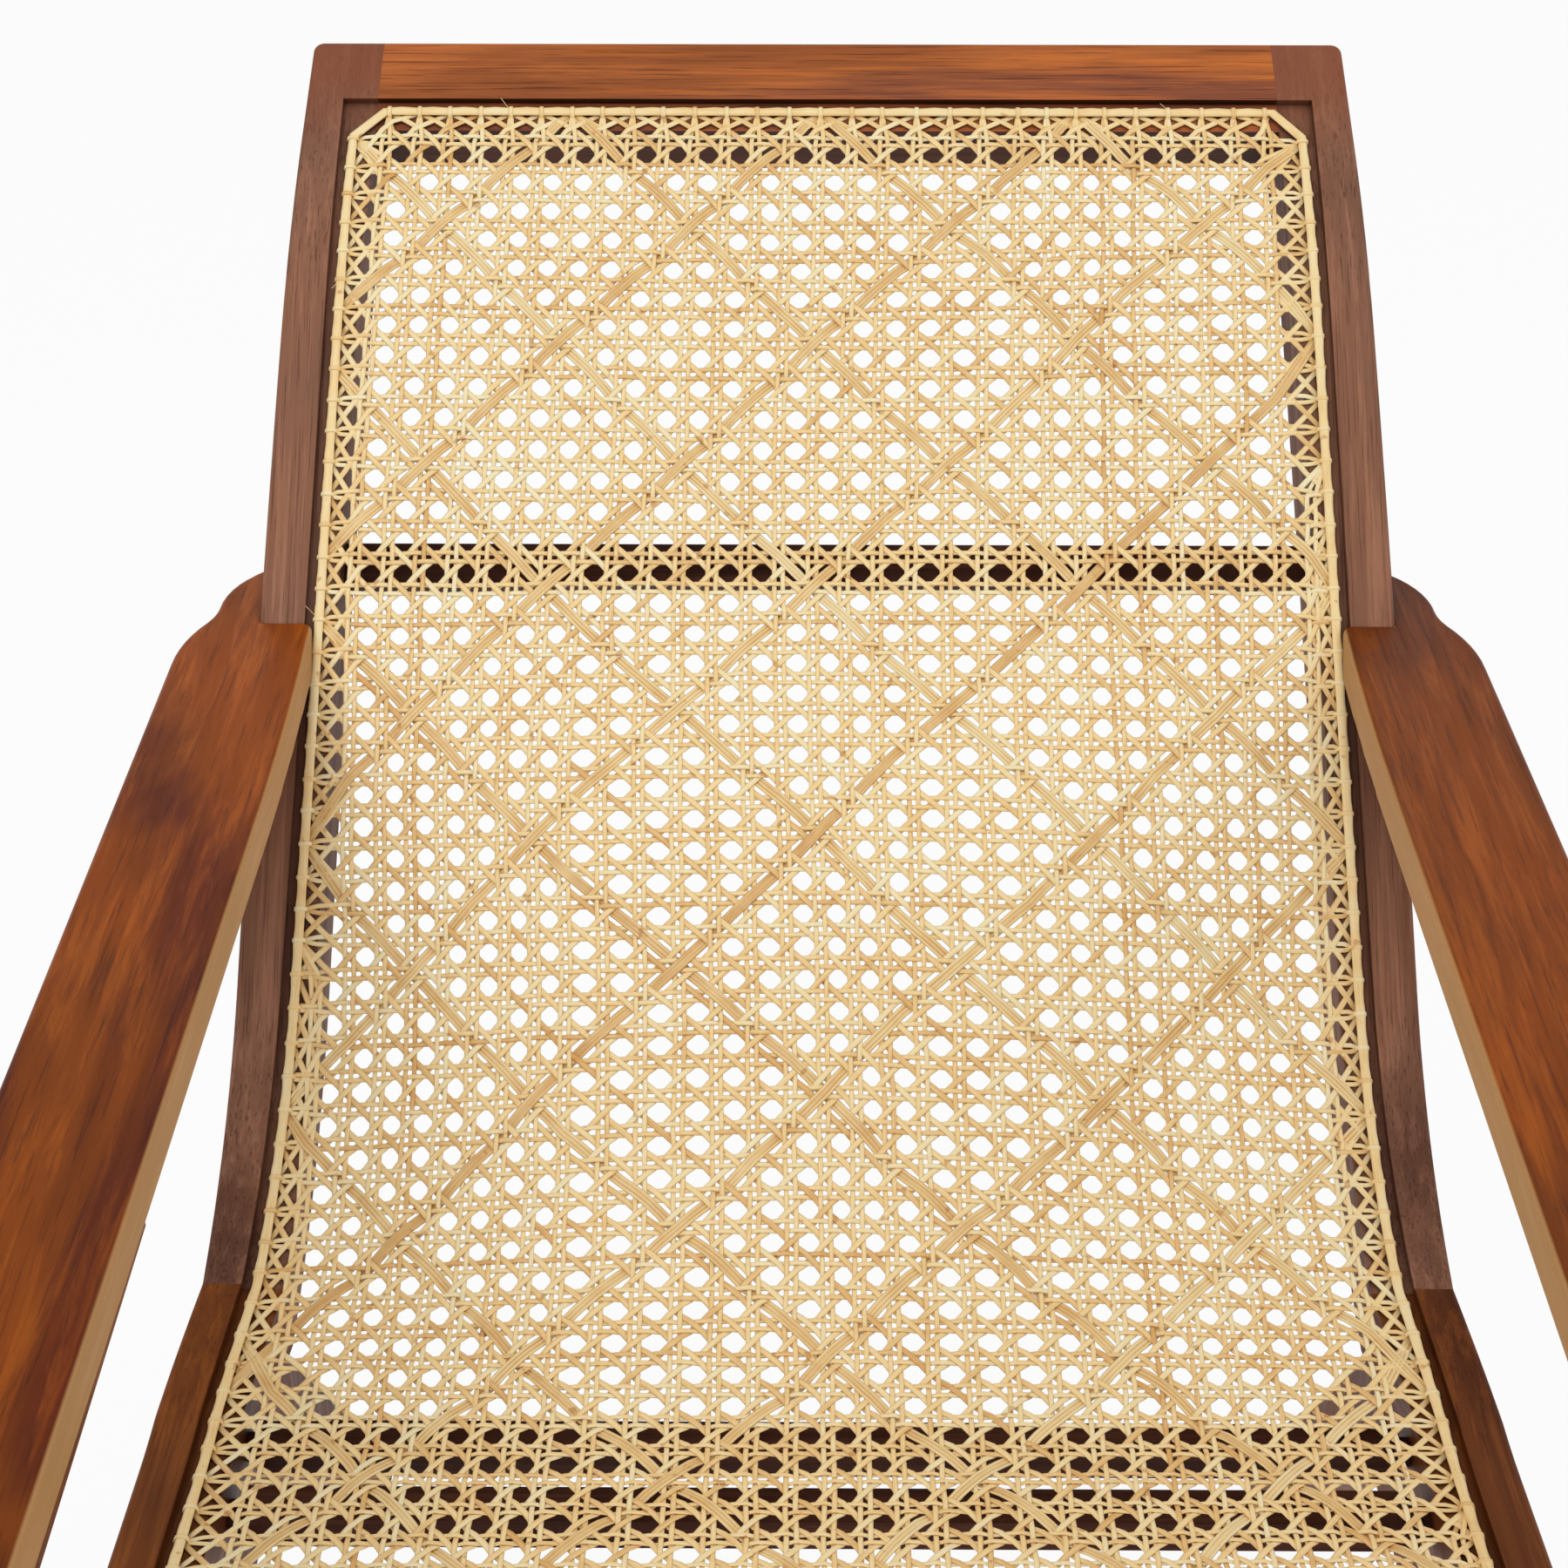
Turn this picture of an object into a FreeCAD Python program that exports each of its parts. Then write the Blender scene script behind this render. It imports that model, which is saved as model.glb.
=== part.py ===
"""A planters chair: a long reclined cane back and seat in one S-shaped frame, flat arms and swing-out leg rests.

Millimetres, +Z up, the front of the chair faces -Y, and the origin is under the middle of its box.
The cane lies on one line seen from the side, the cane line. A place on it is given by its distance
along the line from the top row of cane holes, and by its height square to the line.
"""
import FreeCAD, Part
import math
import os

V = FreeCAD.Vector

# Cane line, seen from the side
seat_low = 350.0             # height of the cane at the lowest place of the seat
seat_rise = 6.0              # degrees that the seat rises towards the front
back_slope = 45.5            # degrees between the straight of the back and the floor
top_slope = 36.0             # degrees between the rolled-back top and the floor
seat_curve_radius = 307.0
top_curve_radius = 688.0
top_run = 26.0               # straight from the top holes to the top curve
back_run = 353.5             # straight of the back
seat_run = 385.0             # straight of the seat up to the front row of holes

# Side frame, in half widths from the middle of the chair
side_width = 40.0            # width of a stile or a seat side rail
side_depth = 42.0            # its depth square to the cane
half_top = 289.2             # outside of the stile at the top
arm_spread = 11.8            # the side frames stand this much wider at the arms than at the top
joint_spread = 4.5           # and this much wider again at the joint of stile and side rail
seat_spread = 8.5            # and this much again along the seat
joint_place = 656.0          # distance along the cane line of that joint
lap_length = 64.0
edge_round = 2.5             # rounded long edges of the frame
corner_round = 6.0           # rounded outer corners at the top
flare_run = 76.0             # length over which the side rail turns outwards below the joint
flare_share = 0.66           # how much of the flare is done halfway

# Rebate that the cane lies in
bed_depth = 4.5
bed_lip = 4.7                # from the row of holes out to the step of the rebate
face_top = 19.7              # wood between the step and the outside, at the same places
face_arm = 24.0
face_joint = 19.5
face_seat = 21.0
bed_width = 18.0             # floor of the rebate on the top and front rails

# Rails between the side frames
top_face = 38.0              # face of the top rail above the rebate
top_rail_depth = 38.0
mid_place = 264.0            # distance along the cane line to the middle of the rail behind the back
mid_width = 22.0
mid_depth = 20.0
mid_set_back = 13.0          # clear space between the cane and the rail behind it
low_places = (729.0, 769.5)
low_widths = (18.0, 21.5)
low_depth = 16.0
low_set_back = 14.0
front_face = 25.5
front_rail_depth = 40.0
front_round = 9.0
tenon_length = 22.0
tenon_thick = 10.0
tenon_shoulder = 5.0         # wood left beside a tenon

# Legs
leg_size = 45.0
leg_round = 3.0
leg_gap = 4.5                # from the step of the front rebate to the back of the front leg
rear_leg_depth = 50.0        # measured level, along the chair
rear_leg_rake = 35.0         # degrees that the rear leg rakes back, its foot behind its top
rear_leg_top = 687.0         # place of the cane line under which the leg meets the side rail
rear_leg_tenon = 10.0
leg_tenon = 20.0

# Stretchers
side_stretcher_seat = 2.0    # the side rail's lowest place sits this deep in the stretcher
side_stretcher_height = 50.0
side_stretcher_width = 34.0
front_stretcher_height = 150.0
front_stretcher_depth = 38.0
front_stretcher_width = 22.0

# Arms
arm_top = 582.0
arm_thick = 23.0
arm_cover = 32.5             # the arm's inner edge stands this far inside the outside of the stile
arm_width = 71.0
arm_left_taper = 5.0         # the left arm's inner edge stands this much further out at its tip
arm_flare = 4.1              # the inner edge turns outwards by this much at the stile
arm_flare_run = 170.0
arm_corner = 5.0
arm_front_reach = 120.0      # from the front of the front leg to the tip of the arm
arm_tip = 32.0               # depth of the rounded tip
tail_length = 57.0           # from the face of the stile back to the end of the arm
tail_width = 24.5
tail_round = 40.0            # length of the rounded end of the tail
tail_neck = 16.0
shoulder_run = 42.0          # from the face of the stile forward to the full width
arm_edge = 3.0

# Leg rests under the arms
rest_thick = 21.0
rest_neck = 36.0             # width beside the front leg
rest_paddle = 60.0           # width of the flat end
rest_length = 505.0          # from the pivot to the far end
rest_taper = 70.0            # length over which the neck widens to the paddle
rest_inset = 1.5             # from the outer edge of the arm
rest_room = 2.0              # clear space between the rest and the front leg
pivot_reach = 38.0           # from the tip of the arm back to the pivot
rest_edge = 3.0

# Pivot hardware and small fixings
bolt_radius = 4.0
bolt_head_radius = 8.5
bolt_head = 5.0
bolt_play = 0.06
plug_radius = 10.0
plug_depth = 5.0
washer_radius = 11.0
washer_thick = 1.6
washer_play = 0.2
nut_across = 13.0
nut_thick = 6.5
bolt_tail = 2.5
peg_radius = 4.0
peg_depth = 12.0
peg_play = 0.4
screw_radius = 2.6
screw_head_radius = 5.0
screw_head = 3.5
screw_length = 40.0
screw_plug = 4.0
dowel_radius = 4.0
dowel_depth = 30.0

# Cane
cane_thick = 2.2
cane_clear = 0.3             # the cane lies this much above the wood
cane_edge = 2.7              # from the step of the rebate in to the cane's edge
cane_corner = 20.0           # cut-off corners at the top
binder_width = 4.6
binder_thick = 1.7
bow_places = (44.0, 84.0, 124.0, 184.0, 254.0, 324.0, 394.0, 464.0, 534.0, 604.0, 674.0, 744.0)
bow_heights = (0.0, -4.5, -7.5, -9.0, -5.0, 6.0, 20.0, 28.0, 30.0, 21.0, 8.5, 0.0)
cane_steps_along = 60
cane_steps_across = 24

over = 10.0                  # overrun of every cutting tool


def cane_line():
    """The stretches of the cane line from the top to the front: length, first slope and last slope in radians."""
    top, back, seat = math.radians(top_slope), math.radians(back_slope), -math.radians(seat_rise)
    return [
        (top_run, top, top),
        (top_curve_radius * (back - top), top, back),
        (back_run, back, back),
        (seat_curve_radius * (back - seat), back, seat),
        (seat_run, seat, seat),
    ]


LINE = cane_line()
front_place = sum(length for length, first, last in LINE)


def advance(start, first, last, length, part):
    """The place after part of a stretch, which is straight or a round arc."""
    y, z = start
    bend = (last - first) / length
    if bend == 0:
        return y - part * math.cos(first), z - part * math.sin(first), first
    slope = first + bend * part
    return (y - (math.sin(slope) - math.sin(first)) / bend,
            z + (math.cos(slope) - math.cos(first)) / bend, slope)


def raw_place(distance):
    """Place and slope at a distance along the line, from the top holes, before the line is set on its height."""
    y, z, slope = 0.0, 0.0, LINE[0][1]
    gone = 0.0
    for index, (length, first, last) in enumerate(LINE):
        part = distance - gone
        if distance < 0 or index == len(LINE) - 1:
            return advance((y, z), first, last, length, part)
        if part <= length:
            return advance((y, z), first, last, length, part)
        y, z, slope = advance((y, z), first, last, length, length)
        gone += length
    return y, z, slope


seat_curve_start = top_run + LINE[1][0] + back_run
low_place = seat_curve_start + seat_curve_radius * math.radians(back_slope)
LOW = raw_place(low_place)


def at(distance, height=0.0):
    """A point of the side view: a distance along the cane line and a height square to it, as y and z."""
    y, z, slope = raw_place(distance)
    return (y - LOW[0] - height * math.sin(slope), z - LOW[1] + seat_low + height * math.cos(slope))


def breaks(first, last):
    """Distances where the line changes between two places, with both ends."""
    marks, gone = [first], 0.0
    for length, start, end in LINE[:-1]:
        gone += length
        if first < gone < last:
            marks.append(gone)
    return marks + [last]


def line_edges(first, last, height):
    """Edges that follow the cane line at one height: lines on the straights and arcs on the curves."""
    edges = []
    marks = breaks(first, last)
    for start, end in zip(marks, marks[1:]):
        a, b, c = (V(0, *at(d, height)) for d in (start, (start + end) / 2, end))
        straight = abs(raw_place(start)[2] - raw_place(end)[2]) < 1e-9
        edges.append(Part.makeLine(a, c) if straight else Part.Arc(a, b, c).toShape())
    return edges


def strip(first, last, low, high, left, right):
    """A solid that follows the cane line between two places and two heights, from x left to x right."""
    edges = line_edges(first, last, low) + line_edges(first, last, high)
    edges += [Part.makeLine(V(0, *at(d, low)), V(0, *at(d, high))) for d in (first, last)]
    face = Part.Face(Part.Wire(Part.__sortEdges__(edges)))
    solid = face.extrude(V(right - left, 0, 0))
    solid.translate(V(left, 0, 0))
    return solid


def box(x1, x2, y1, y2, z1, z2):
    return Part.makeBox(x2 - x1, y2 - y1, z2 - z1, V(x1, y1, z1))


def mirrored(shape):
    return shape.mirror(V(0, 0, 0), V(1, 0, 0))


def upright(x, y, radius, z1, z2):
    return Part.makeCylinder(radius, z2 - z1, V(x, y, z1))


def prism(edges, z1, z2):
    """A closed outline in plan, carried from height z1 to z2."""
    face = Part.Face(Part.Wire(Part.__sortEdges__(edges)))
    solid = face.extrude(V(0, 0, z2 - z1))
    solid.translate(V(0, 0, z1))
    return solid


def rounded(shape, radius, chosen):
    """The shape with the edges that a test picks rounded."""
    return shape.makeFillet(radius, [e for e in shape.Edges if chosen(e)])


# Places that the sizes give
half_arm = half_top + arm_spread
half_joint = half_arm + joint_spread
half_seat = half_joint + seat_spread
bed_top = half_top - face_top
bed_arm = half_arm - face_arm
bed_joint = half_joint - face_joint
bed_seat = half_seat - face_seat
arm_inner = half_arm - arm_cover
depth_low = bed_depth - side_depth
side_stretcher_top = seat_low + depth_low + side_stretcher_seat
top_edge = -(bed_lip + top_face)
front_step = front_place + bed_lip
leg_back_y = at(front_step, bed_depth)[0] - leg_gap
leg_front_y = leg_back_y - leg_size
leg_inner = half_seat - side_width
leg_outer = leg_inner + leg_size
front_edge = front_step + front_face
y_top = at(top_edge, depth_low)[0] + over
y_joint = at(joint_place)[0]
y_flare = y_joint - flare_run
arm_bottom = arm_top - arm_thick
back_start = top_run + LINE[1][0]
back_angle = math.radians(back_slope)
arm_place = back_start + (at(back_start, bed_depth)[1] - arm_top) / math.sin(back_angle)
y_arm = at(arm_place, bed_depth)[0]
sky = arm_top * 2
arm_tip_y = leg_front_y - arm_front_reach
pivot_y = arm_tip_y + pivot_reach
arm_outer = arm_inner + arm_width
rest_outer = arm_outer - rest_inset
pivot_x = rest_outer - rest_neck / 2
rest_top = arm_bottom - washer_thick - washer_play
rest_bottom = rest_top - rest_thick
notch_x = rest_outer - rest_neck - rest_room


def side_curve(top, arm, joint, seat, shift=0.0):
    """A line of the side frame in plan, from the back of the chair to past the front leg."""
    points = [
        V(top - shift, y_top, 0),
        V(top - shift, at(top_edge)[0], 0),
        V(arm - shift, y_arm, 0),
        V(joint - shift, y_joint, 0),
        V(joint + (seat - joint) * flare_share - shift, (y_joint + y_flare) / 2, 0),
        V(seat - shift, y_flare, 0),
        V(seat - shift, leg_front_y - over, 0),
    ]
    return points, [
        Part.makeLine(points[0], points[1]),
        Part.Arc(points[1], points[2], points[3]).toShape(),
        Part.Arc(points[3], points[4], points[5]).toShape(),
        Part.makeLine(points[5], points[6]),
    ]


def side_band():
    """The room of the right side frame in plan, carried far up."""
    outer, outer_edges = side_curve(half_top, half_arm, half_joint, half_seat)
    inner, inner_edges = side_curve(half_top, half_arm, half_joint, half_seat, side_width)
    ends = [Part.makeLine(outer[0], inner[0]), Part.makeLine(outer[-1], inner[-1])]
    return prism(outer_edges + inner_edges + ends, -over, sky)


def cane_area(inset, first, last):
    """The area inside the step of the rebate in plan, less an inset, carried far up."""
    right, right_edges = side_curve(bed_top, bed_arm, bed_joint, bed_seat, inset)
    left_edges = [mirrored(e) for e in right_edges]
    ends = [Part.makeLine(p, V(-p.x, p.y, 0)) for p in (right[0], right[-1])]
    return prism(right_edges + left_edges + ends, -over, sky)


BAND = side_band()
BAND_LEFT = mirrored(BAND)
WIDE = half_seat + side_width
BED = strip(-bed_lip, front_step, 0, side_depth, -WIDE, WIDE).common(cane_area(0.0, 0, 0))


def between_sides(rail):
    """What is left of a rail between the two side frames."""
    return rail.cut(BAND).cut(BAND_LEFT)


def cross_rail(first, last, low, high, reach):
    """A rail between the side frames, with a tenon at each end that goes into them by reach."""
    inner = half_top - side_width
    near = strip(first, last, low, high, -inner - side_width / 2, inner + side_width / 2)
    rail = between_sides(near)
    middle = (low + high) / 2
    thick = min(tenon_thick, (high - low) - tenon_shoulder)
    edge = min(tenon_shoulder, (last - first) / 4)
    half = side_inner_at((first + last) / 2) + reach
    tenon = strip(first + edge, last - edge, middle - thick / 2, middle + thick / 2, -half, half)
    return rail.fuse(tenon), tenon


def side_inner_at(distance):
    """Half width to the inner face of the side frame at a place of the cane line."""
    y = at(distance)[0]
    span = box(0, WIDE, y - 0.5, y + 0.5, 0, 1).common(BAND)
    return span.BoundBox.XMin


def top_rail():
    low = bed_depth - top_rail_depth
    rail, tenon = cross_rail(top_edge, bed_width - bed_lip, low, bed_depth, tenon_length)
    y = at(top_edge)[0]
    rail = rounded(rail, edge_round, lambda e: e.BoundBox.XLength > half_top
                   and e.CenterOfMass.y > y - top_rail_depth and at_end(e, top_edge))
    return rail.cut(BED), tenon


def mid_rail():
    high = -mid_set_back
    half = mid_width / 2
    return cross_rail(mid_place - half, mid_place + half, high - mid_depth, high, tenon_length)


def low_rail(place, width):
    high = -low_set_back
    return cross_rail(place - width / 2, place + width / 2, high - low_depth, high, tenon_length)


def front_rail():
    low = bed_depth - front_rail_depth
    first, last = front_step - bed_width, front_edge
    rail = strip(first, last, low, bed_depth, -leg_inner, leg_inner)
    y, z = at(front_edge, bed_depth)
    rail = rounded(rail, front_round, lambda e: e.BoundBox.XLength > leg_inner
                   and abs(e.CenterOfMass.y - y) < over and abs(e.CenterOfMass.z - z) < over / 2)
    half = leg_inner + tenon_length
    y1, y2 = leg_front_y + leg_size / 2 - tenon_thick, leg_front_y + leg_size / 2
    z1 = at(front_edge, low)[1] + tenon_shoulder
    tenon = box(-half, half, y1, y2, z1, z1 + front_rail_depth / 2)
    return rail.cut(BED).fuse(tenon), tenon


def at_end(edge, distance):
    """Whether an edge lies in the plane square to the cane line at a place."""
    y, z, slope = *at(distance), raw_place(distance)[2]
    middle = edge.CenterOfMass
    off = (middle.y - y) * math.cos(slope) + (middle.z - z) * math.sin(slope)
    return abs(off) < edge_round / 5


def side_timber():
    """The right side frame in one length, from the top to inside the front leg, with its rounded edges."""
    timber = strip(top_edge, front_step + leg_size, depth_low, bed_depth, 0, WIDE).common(BAND)
    outer = half_top - side_width / 4
    timber = rounded(timber, corner_round, lambda e: at_end(e, top_edge) and e.BoundBox.XLength < 1
                     and e.CenterOfMass.x > outer)
    return rounded(timber, edge_round, lambda e: e.CenterOfMass.x > outer - side_width / 2
                   and not (at_end(e, top_edge) and e.BoundBox.XLength < 1)
                   and not at_end(e, front_step + leg_size)
                   and (e.Length > side_depth * 1.2 and e.CenterOfMass.x > outer
                        or at_end(e, top_edge)))


def side_frame(tenons):
    """The right back stile and seat side rail, halved into each other at the joint, and the rail's front tenon."""
    middle = (bed_depth + depth_low) / 2
    timber = side_timber().cut(BED)
    seat_part = strip(joint_place, front_step + 2 * leg_size, depth_low - over, bed_depth + over, 0, WIDE)
    seat_part = seat_part.fuse(strip(joint_place - lap_length, joint_place + over,
                                     depth_low - over, middle, 0, WIDE))
    stile = timber.cut(seat_part)
    rail = timber.common(seat_part)
    rail = rail.cut(box(0, WIDE, leg_back_y - 2 * leg_size, leg_back_y, 0, sky))
    z = at(front_step, depth_low)[1] + tenon_shoulder
    x = half_seat - side_width / 2 - tenon_thick / 2
    tenon = box(x, x + tenon_thick, leg_back_y - tenon_length, leg_back_y + over, z, z + side_depth / 2)
    rail = rail.fuse(tenon)
    for cutter in tenons:
        stile = stile.cut(cutter)
        rail = rail.cut(cutter)
    return stile, rail, tenon


def front_leg():
    """The right front leg up to the arm, notched at the top for the leg rest, with its tenon."""
    y1, y2 = leg_front_y, leg_back_y
    leg = box(leg_inner, leg_outer, y1, y2, 0, arm_bottom)
    leg = rounded(leg, leg_round, lambda e: e.BoundBox.ZLength > leg_size)
    leg = leg.cut(box(notch_x, leg_outer + over, y1 - over, y2 + over,
                      rest_bottom - rest_room, arm_bottom + over))
    inset = (notch_x - leg_inner - tenon_thick) / 2
    x = leg_inner + inset
    tenon = box(x, x + tenon_thick, y1 + leg_size / 5, y2 - leg_size / 5,
                arm_bottom - over, arm_bottom + arm_thick / 2)
    return leg, tenon


def rear_foot():
    """Front edge of the rear leg on the floor, and how far the leg goes back for each unit of height."""
    lean = math.tan(math.radians(rear_leg_rake))
    y, z = at(rear_leg_top, depth_low)
    return y + lean * z - rear_leg_depth / 2, -lean


def rear_leg():
    """The right rear leg, raked back, cut off under the seat side rail, with its tenon."""
    foot_front, lean = rear_foot()
    inner = side_inner_at(rear_leg_top)
    outer = inner + side_width

    def slice_of(front, back, x1, x2):
        corners = [(edge + z * lean, z) for edge, z in ((front, -over), (back, -over), (back, sky), (front, sky))]
        face = Part.Face(Part.makePolygon([V(0, y, z) for y, z in corners + corners[:1]]))
        solid = face.extrude(V(x2 - x1, 0, 0))
        solid.translate(V(x1, 0, 0))
        return solid.cut(box(0, WIDE, -sky, sky, -2 * over, 0))

    foot_back = foot_front + rear_leg_depth
    under = strip(back_start, front_step, depth_low - sky, depth_low, 0, WIDE)
    leg = slice_of(foot_front, foot_back, inner, outer).common(under)
    leg = rounded(leg, leg_round, lambda e: e.BoundBox.ZLength > leg_size and e.BoundBox.XLength < 1)
    side = (side_width - tenon_thick) / 2
    deep = strip(joint_place, front_step, depth_low - over, depth_low + rear_leg_tenon, 0, WIDE)
    tenon = slice_of(foot_front + tenon_shoulder, foot_back - tenon_shoulder, inner + side,
                     outer - side).common(deep)
    return leg, tenon


def side_stretcher(leg, rear, rail):
    """The right stretcher from the rear leg to the front leg, which carries the low place of the side rail."""
    low = side_stretcher_top - side_stretcher_height
    foot_front, lean = rear_foot()
    rear_face = foot_front + lean * low
    rear_x = side_inner_at(rear_leg_top) + side_width / 2
    front_x = (leg_inner + leg_outer) / 2
    end_y = rear_face + tenon_length

    def bar(width, low, high, front, back):
        turn = (rear_x - front_x) / (end_y - leg_back_y)
        ends = [(front_x + turn * (y - leg_back_y), y) for y in (front, back)]
        (xf, yf), (xb, yb) = ends
        half = width / 2
        points = [V(xf - half, yf, 0), V(xf + half, yf, 0), V(xb + half, yb, 0), V(xb - half, yb, 0)]
        face = Part.Face(Part.makePolygon(points + points[:1]))
        solid = face.extrude(V(0, 0, high - low))
        solid.translate(V(0, 0, low))
        return solid

    wall = leg_size / 2
    bite = (rear_leg_depth + lean * side_stretcher_height) / 2
    body = bar(side_stretcher_width, low, side_stretcher_top, leg_back_y - wall, rear_face + bite)
    body = body.cut(leg).cut(rear).cut(rail)
    body = max(body.Solids, key=lambda s: s.Volume)
    tenon = bar(tenon_thick, low + tenon_shoulder, low + side_stretcher_height / 2 + tenon_shoulder,
                leg_back_y - tenon_length, rear_face + tenon_length)
    return body.fuse(tenon), tenon


def front_stretcher():
    y = (leg_front_y + leg_back_y) / 2
    z = front_stretcher_height
    half = front_stretcher_width / 2
    body = box(-leg_inner, leg_inner, y - half, y + half, z, z + front_stretcher_depth)
    body = rounded(body, leg_round, lambda e: e.BoundBox.XLength > leg_inner)
    reach = leg_inner + tenon_length
    tenon = box(-reach, reach, y - tenon_thick / 2, y + tenon_thick / 2,
                z + tenon_shoulder, z + front_stretcher_depth - tenon_shoulder)
    return body.fuse(tenon), tenon


def arm_outline(taper):
    """The right arm in plan: a rounded tip, straight edges, and an ogee tail round the outside of the stile."""
    tail_outer = half_arm + tail_width
    shoulder = (arm_outer - tail_outer) / 2
    tail_y = y_arm + tail_length
    neck_y = tail_y - tail_round
    p = {
        "tail_in": V(half_arm - over / 5, tail_y, 0),
        "tail_end": V(half_arm + tail_width / 3, tail_y, 0),
        "tail_round": V(tail_outer - tail_width / 5, tail_y - tail_round * 2 / 5, 0),
        "tail_out": V(tail_outer, neck_y, 0),
        "neck": V(tail_outer + shoulder / 8, neck_y - tail_neck / 2, 0),
        "neck_end": V(tail_outer + shoulder / 2, neck_y - tail_neck, 0),
        "shoulder": V(arm_outer - shoulder / 3, (neck_y - tail_neck + y_arm - shoulder_run) / 2, 0),
        "full": V(arm_outer, y_arm - shoulder_run, 0),
        "tip_out": V(arm_outer, arm_tip_y + arm_tip, 0),
        "tip": V(arm_inner + (arm_width + taper) / 2, arm_tip_y, 0),
        "tip_in": V(arm_inner + taper, arm_tip_y + arm_tip, 0),
        "straight_end": V(arm_inner, y_arm - arm_flare_run, 0),
        "flare": V(arm_inner + arm_flare / 4, y_arm - arm_flare_run / 2, 0),
        "corner_front": V(arm_inner + arm_flare, y_arm - arm_corner, 0),
        "corner": V(arm_inner + arm_flare + arm_corner / 3, y_arm - arm_corner / 3, 0),
        "corner_back": V(arm_inner + arm_flare + arm_corner, y_arm, 0),
        "notch": V(half_arm - over / 5, y_arm, 0),
    }

    def arc(a, b, c):
        return Part.Arc(p[a], p[b], p[c]).toShape()

    def line(a, b):
        return Part.makeLine(p[a], p[b])

    return [
        line("tail_in", "tail_end"), arc("tail_end", "tail_round", "tail_out"),
        arc("tail_out", "neck", "neck_end"),
        arc("neck_end", "shoulder", "full"), line("full", "tip_out"), arc("tip_out", "tip", "tip_in"),
        line("tip_in", "straight_end"), arc("straight_end", "flare", "corner_front"),
        arc("corner_front", "corner", "corner_back"), line("corner_back", "notch"), line("notch", "tail_in"),
    ]


def bolt_room(low, high, radius):
    return upright(pivot_x, pivot_y, radius, low, high)


def peg_place():
    """Where the stop peg stands: beside the swung-out rest, just in front of the pivot."""
    return pivot_x - rest_neck / 2 - peg_radius - peg_play, pivot_y - pivot_reach / 2


def arm(stile, leg_tenon_solid, taper):
    board = prism(arm_outline(taper), arm_bottom, arm_top)
    board = rounded(board, arm_edge, lambda e: e.BoundBox.ZLength < 1e-6)
    board = board.cut(stile).cut(leg_tenon_solid)
    board = max(board.Solids, key=lambda s: s.Volume)
    board = board.cut(bolt_room(arm_bottom - over, arm_top + over, bolt_radius))
    board = board.cut(bolt_room(arm_top - plug_depth - bolt_head, arm_top + over, plug_radius))
    x, y = peg_place()
    return board.cut(upright(x, y, peg_radius, arm_bottom - over, arm_bottom + peg_depth))


def leg_rest():
    """The right leg rest, folded back under the arm: a neck at the pivot and a wide flat end."""
    outer, neck_in = rest_outer, rest_outer - rest_neck
    paddle_in = rest_outer - rest_paddle
    end_y = pivot_y + rest_length
    taper_y = leg_back_y + rest_room + leg_round
    round_y = end_y - rest_paddle / 3
    a = V(outer, pivot_y, 0)
    b = V(pivot_x, pivot_y - rest_neck / 2, 0)
    c = V(neck_in, pivot_y, 0)
    d = V(neck_in, taper_y, 0)
    e = V((neck_in + paddle_in) / 2, taper_y + rest_taper / 2, 0)
    f = V(paddle_in, taper_y + rest_taper, 0)
    g = V(paddle_in, round_y, 0)
    h = V((outer + paddle_in) / 2, end_y, 0)
    i = V(outer, round_y, 0)
    step = V(0, rest_taper / 4, 0)
    turn = V((paddle_in - neck_in) / 7, 0, 0)
    edges = [
        Part.Arc(a, b, c).toShape(), Part.makeLine(c, d),
        Part.Arc(d, (d + e) * 0.5 + step * 0.3 - turn * 0.6, e).toShape(),
        Part.Arc(e, (e + f) * 0.5 - step * 0.3 + turn * 0.6, f).toShape(),
        Part.makeLine(f, g), Part.Arc(g, h, i).toShape(), Part.makeLine(i, a),
    ]
    rest = prism(edges, rest_bottom, rest_top)
    rest = rounded(rest, rest_edge, lambda e: e.BoundBox.ZLength < 1e-6)
    return rest.cut(bolt_room(rest_bottom - over, rest_top + over, bolt_radius + bolt_play))


def pivot_hardware():
    """The right pivot: a bolt under a wooden plug, a washer above and below the rest, and a nut."""
    head_z = arm_top - plug_depth - bolt_head
    low_washer_top = rest_bottom - washer_play
    nut_top = low_washer_top - washer_thick
    bolt = bolt_room(nut_top - nut_thick - bolt_tail, head_z, bolt_radius)
    bolt = bolt.fuse(bolt_room(head_z, head_z + bolt_head, bolt_head_radius))
    plug = bolt_room(arm_top - plug_depth, arm_top, plug_radius)
    bore = bolt_room(nut_top - nut_thick - over, arm_top, bolt_radius)
    upper = bolt_room(arm_bottom - washer_thick, arm_bottom, washer_radius).cut(bore)
    lower = bolt_room(nut_top, low_washer_top, washer_radius).cut(bore)
    corner = nut_across / 2 / math.cos(math.radians(30))
    points = [V(pivot_x + corner * math.cos(math.radians(60 * k)),
                pivot_y + corner * math.sin(math.radians(60 * k)), nut_top - nut_thick) for k in range(6)]
    nut = Part.Face(Part.makePolygon(points + points[:1])).extrude(V(0, 0, nut_thick)).cut(bore)
    x, y = peg_place()
    peg = upright(x, y, peg_radius, rest_bottom, arm_bottom + peg_depth)
    return {"pivot_bolt": bolt, "pivot_plug": plug, "upper_washer": upper, "lower_washer": lower,
            "pivot_nut": nut, "stop_peg": peg}


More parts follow.
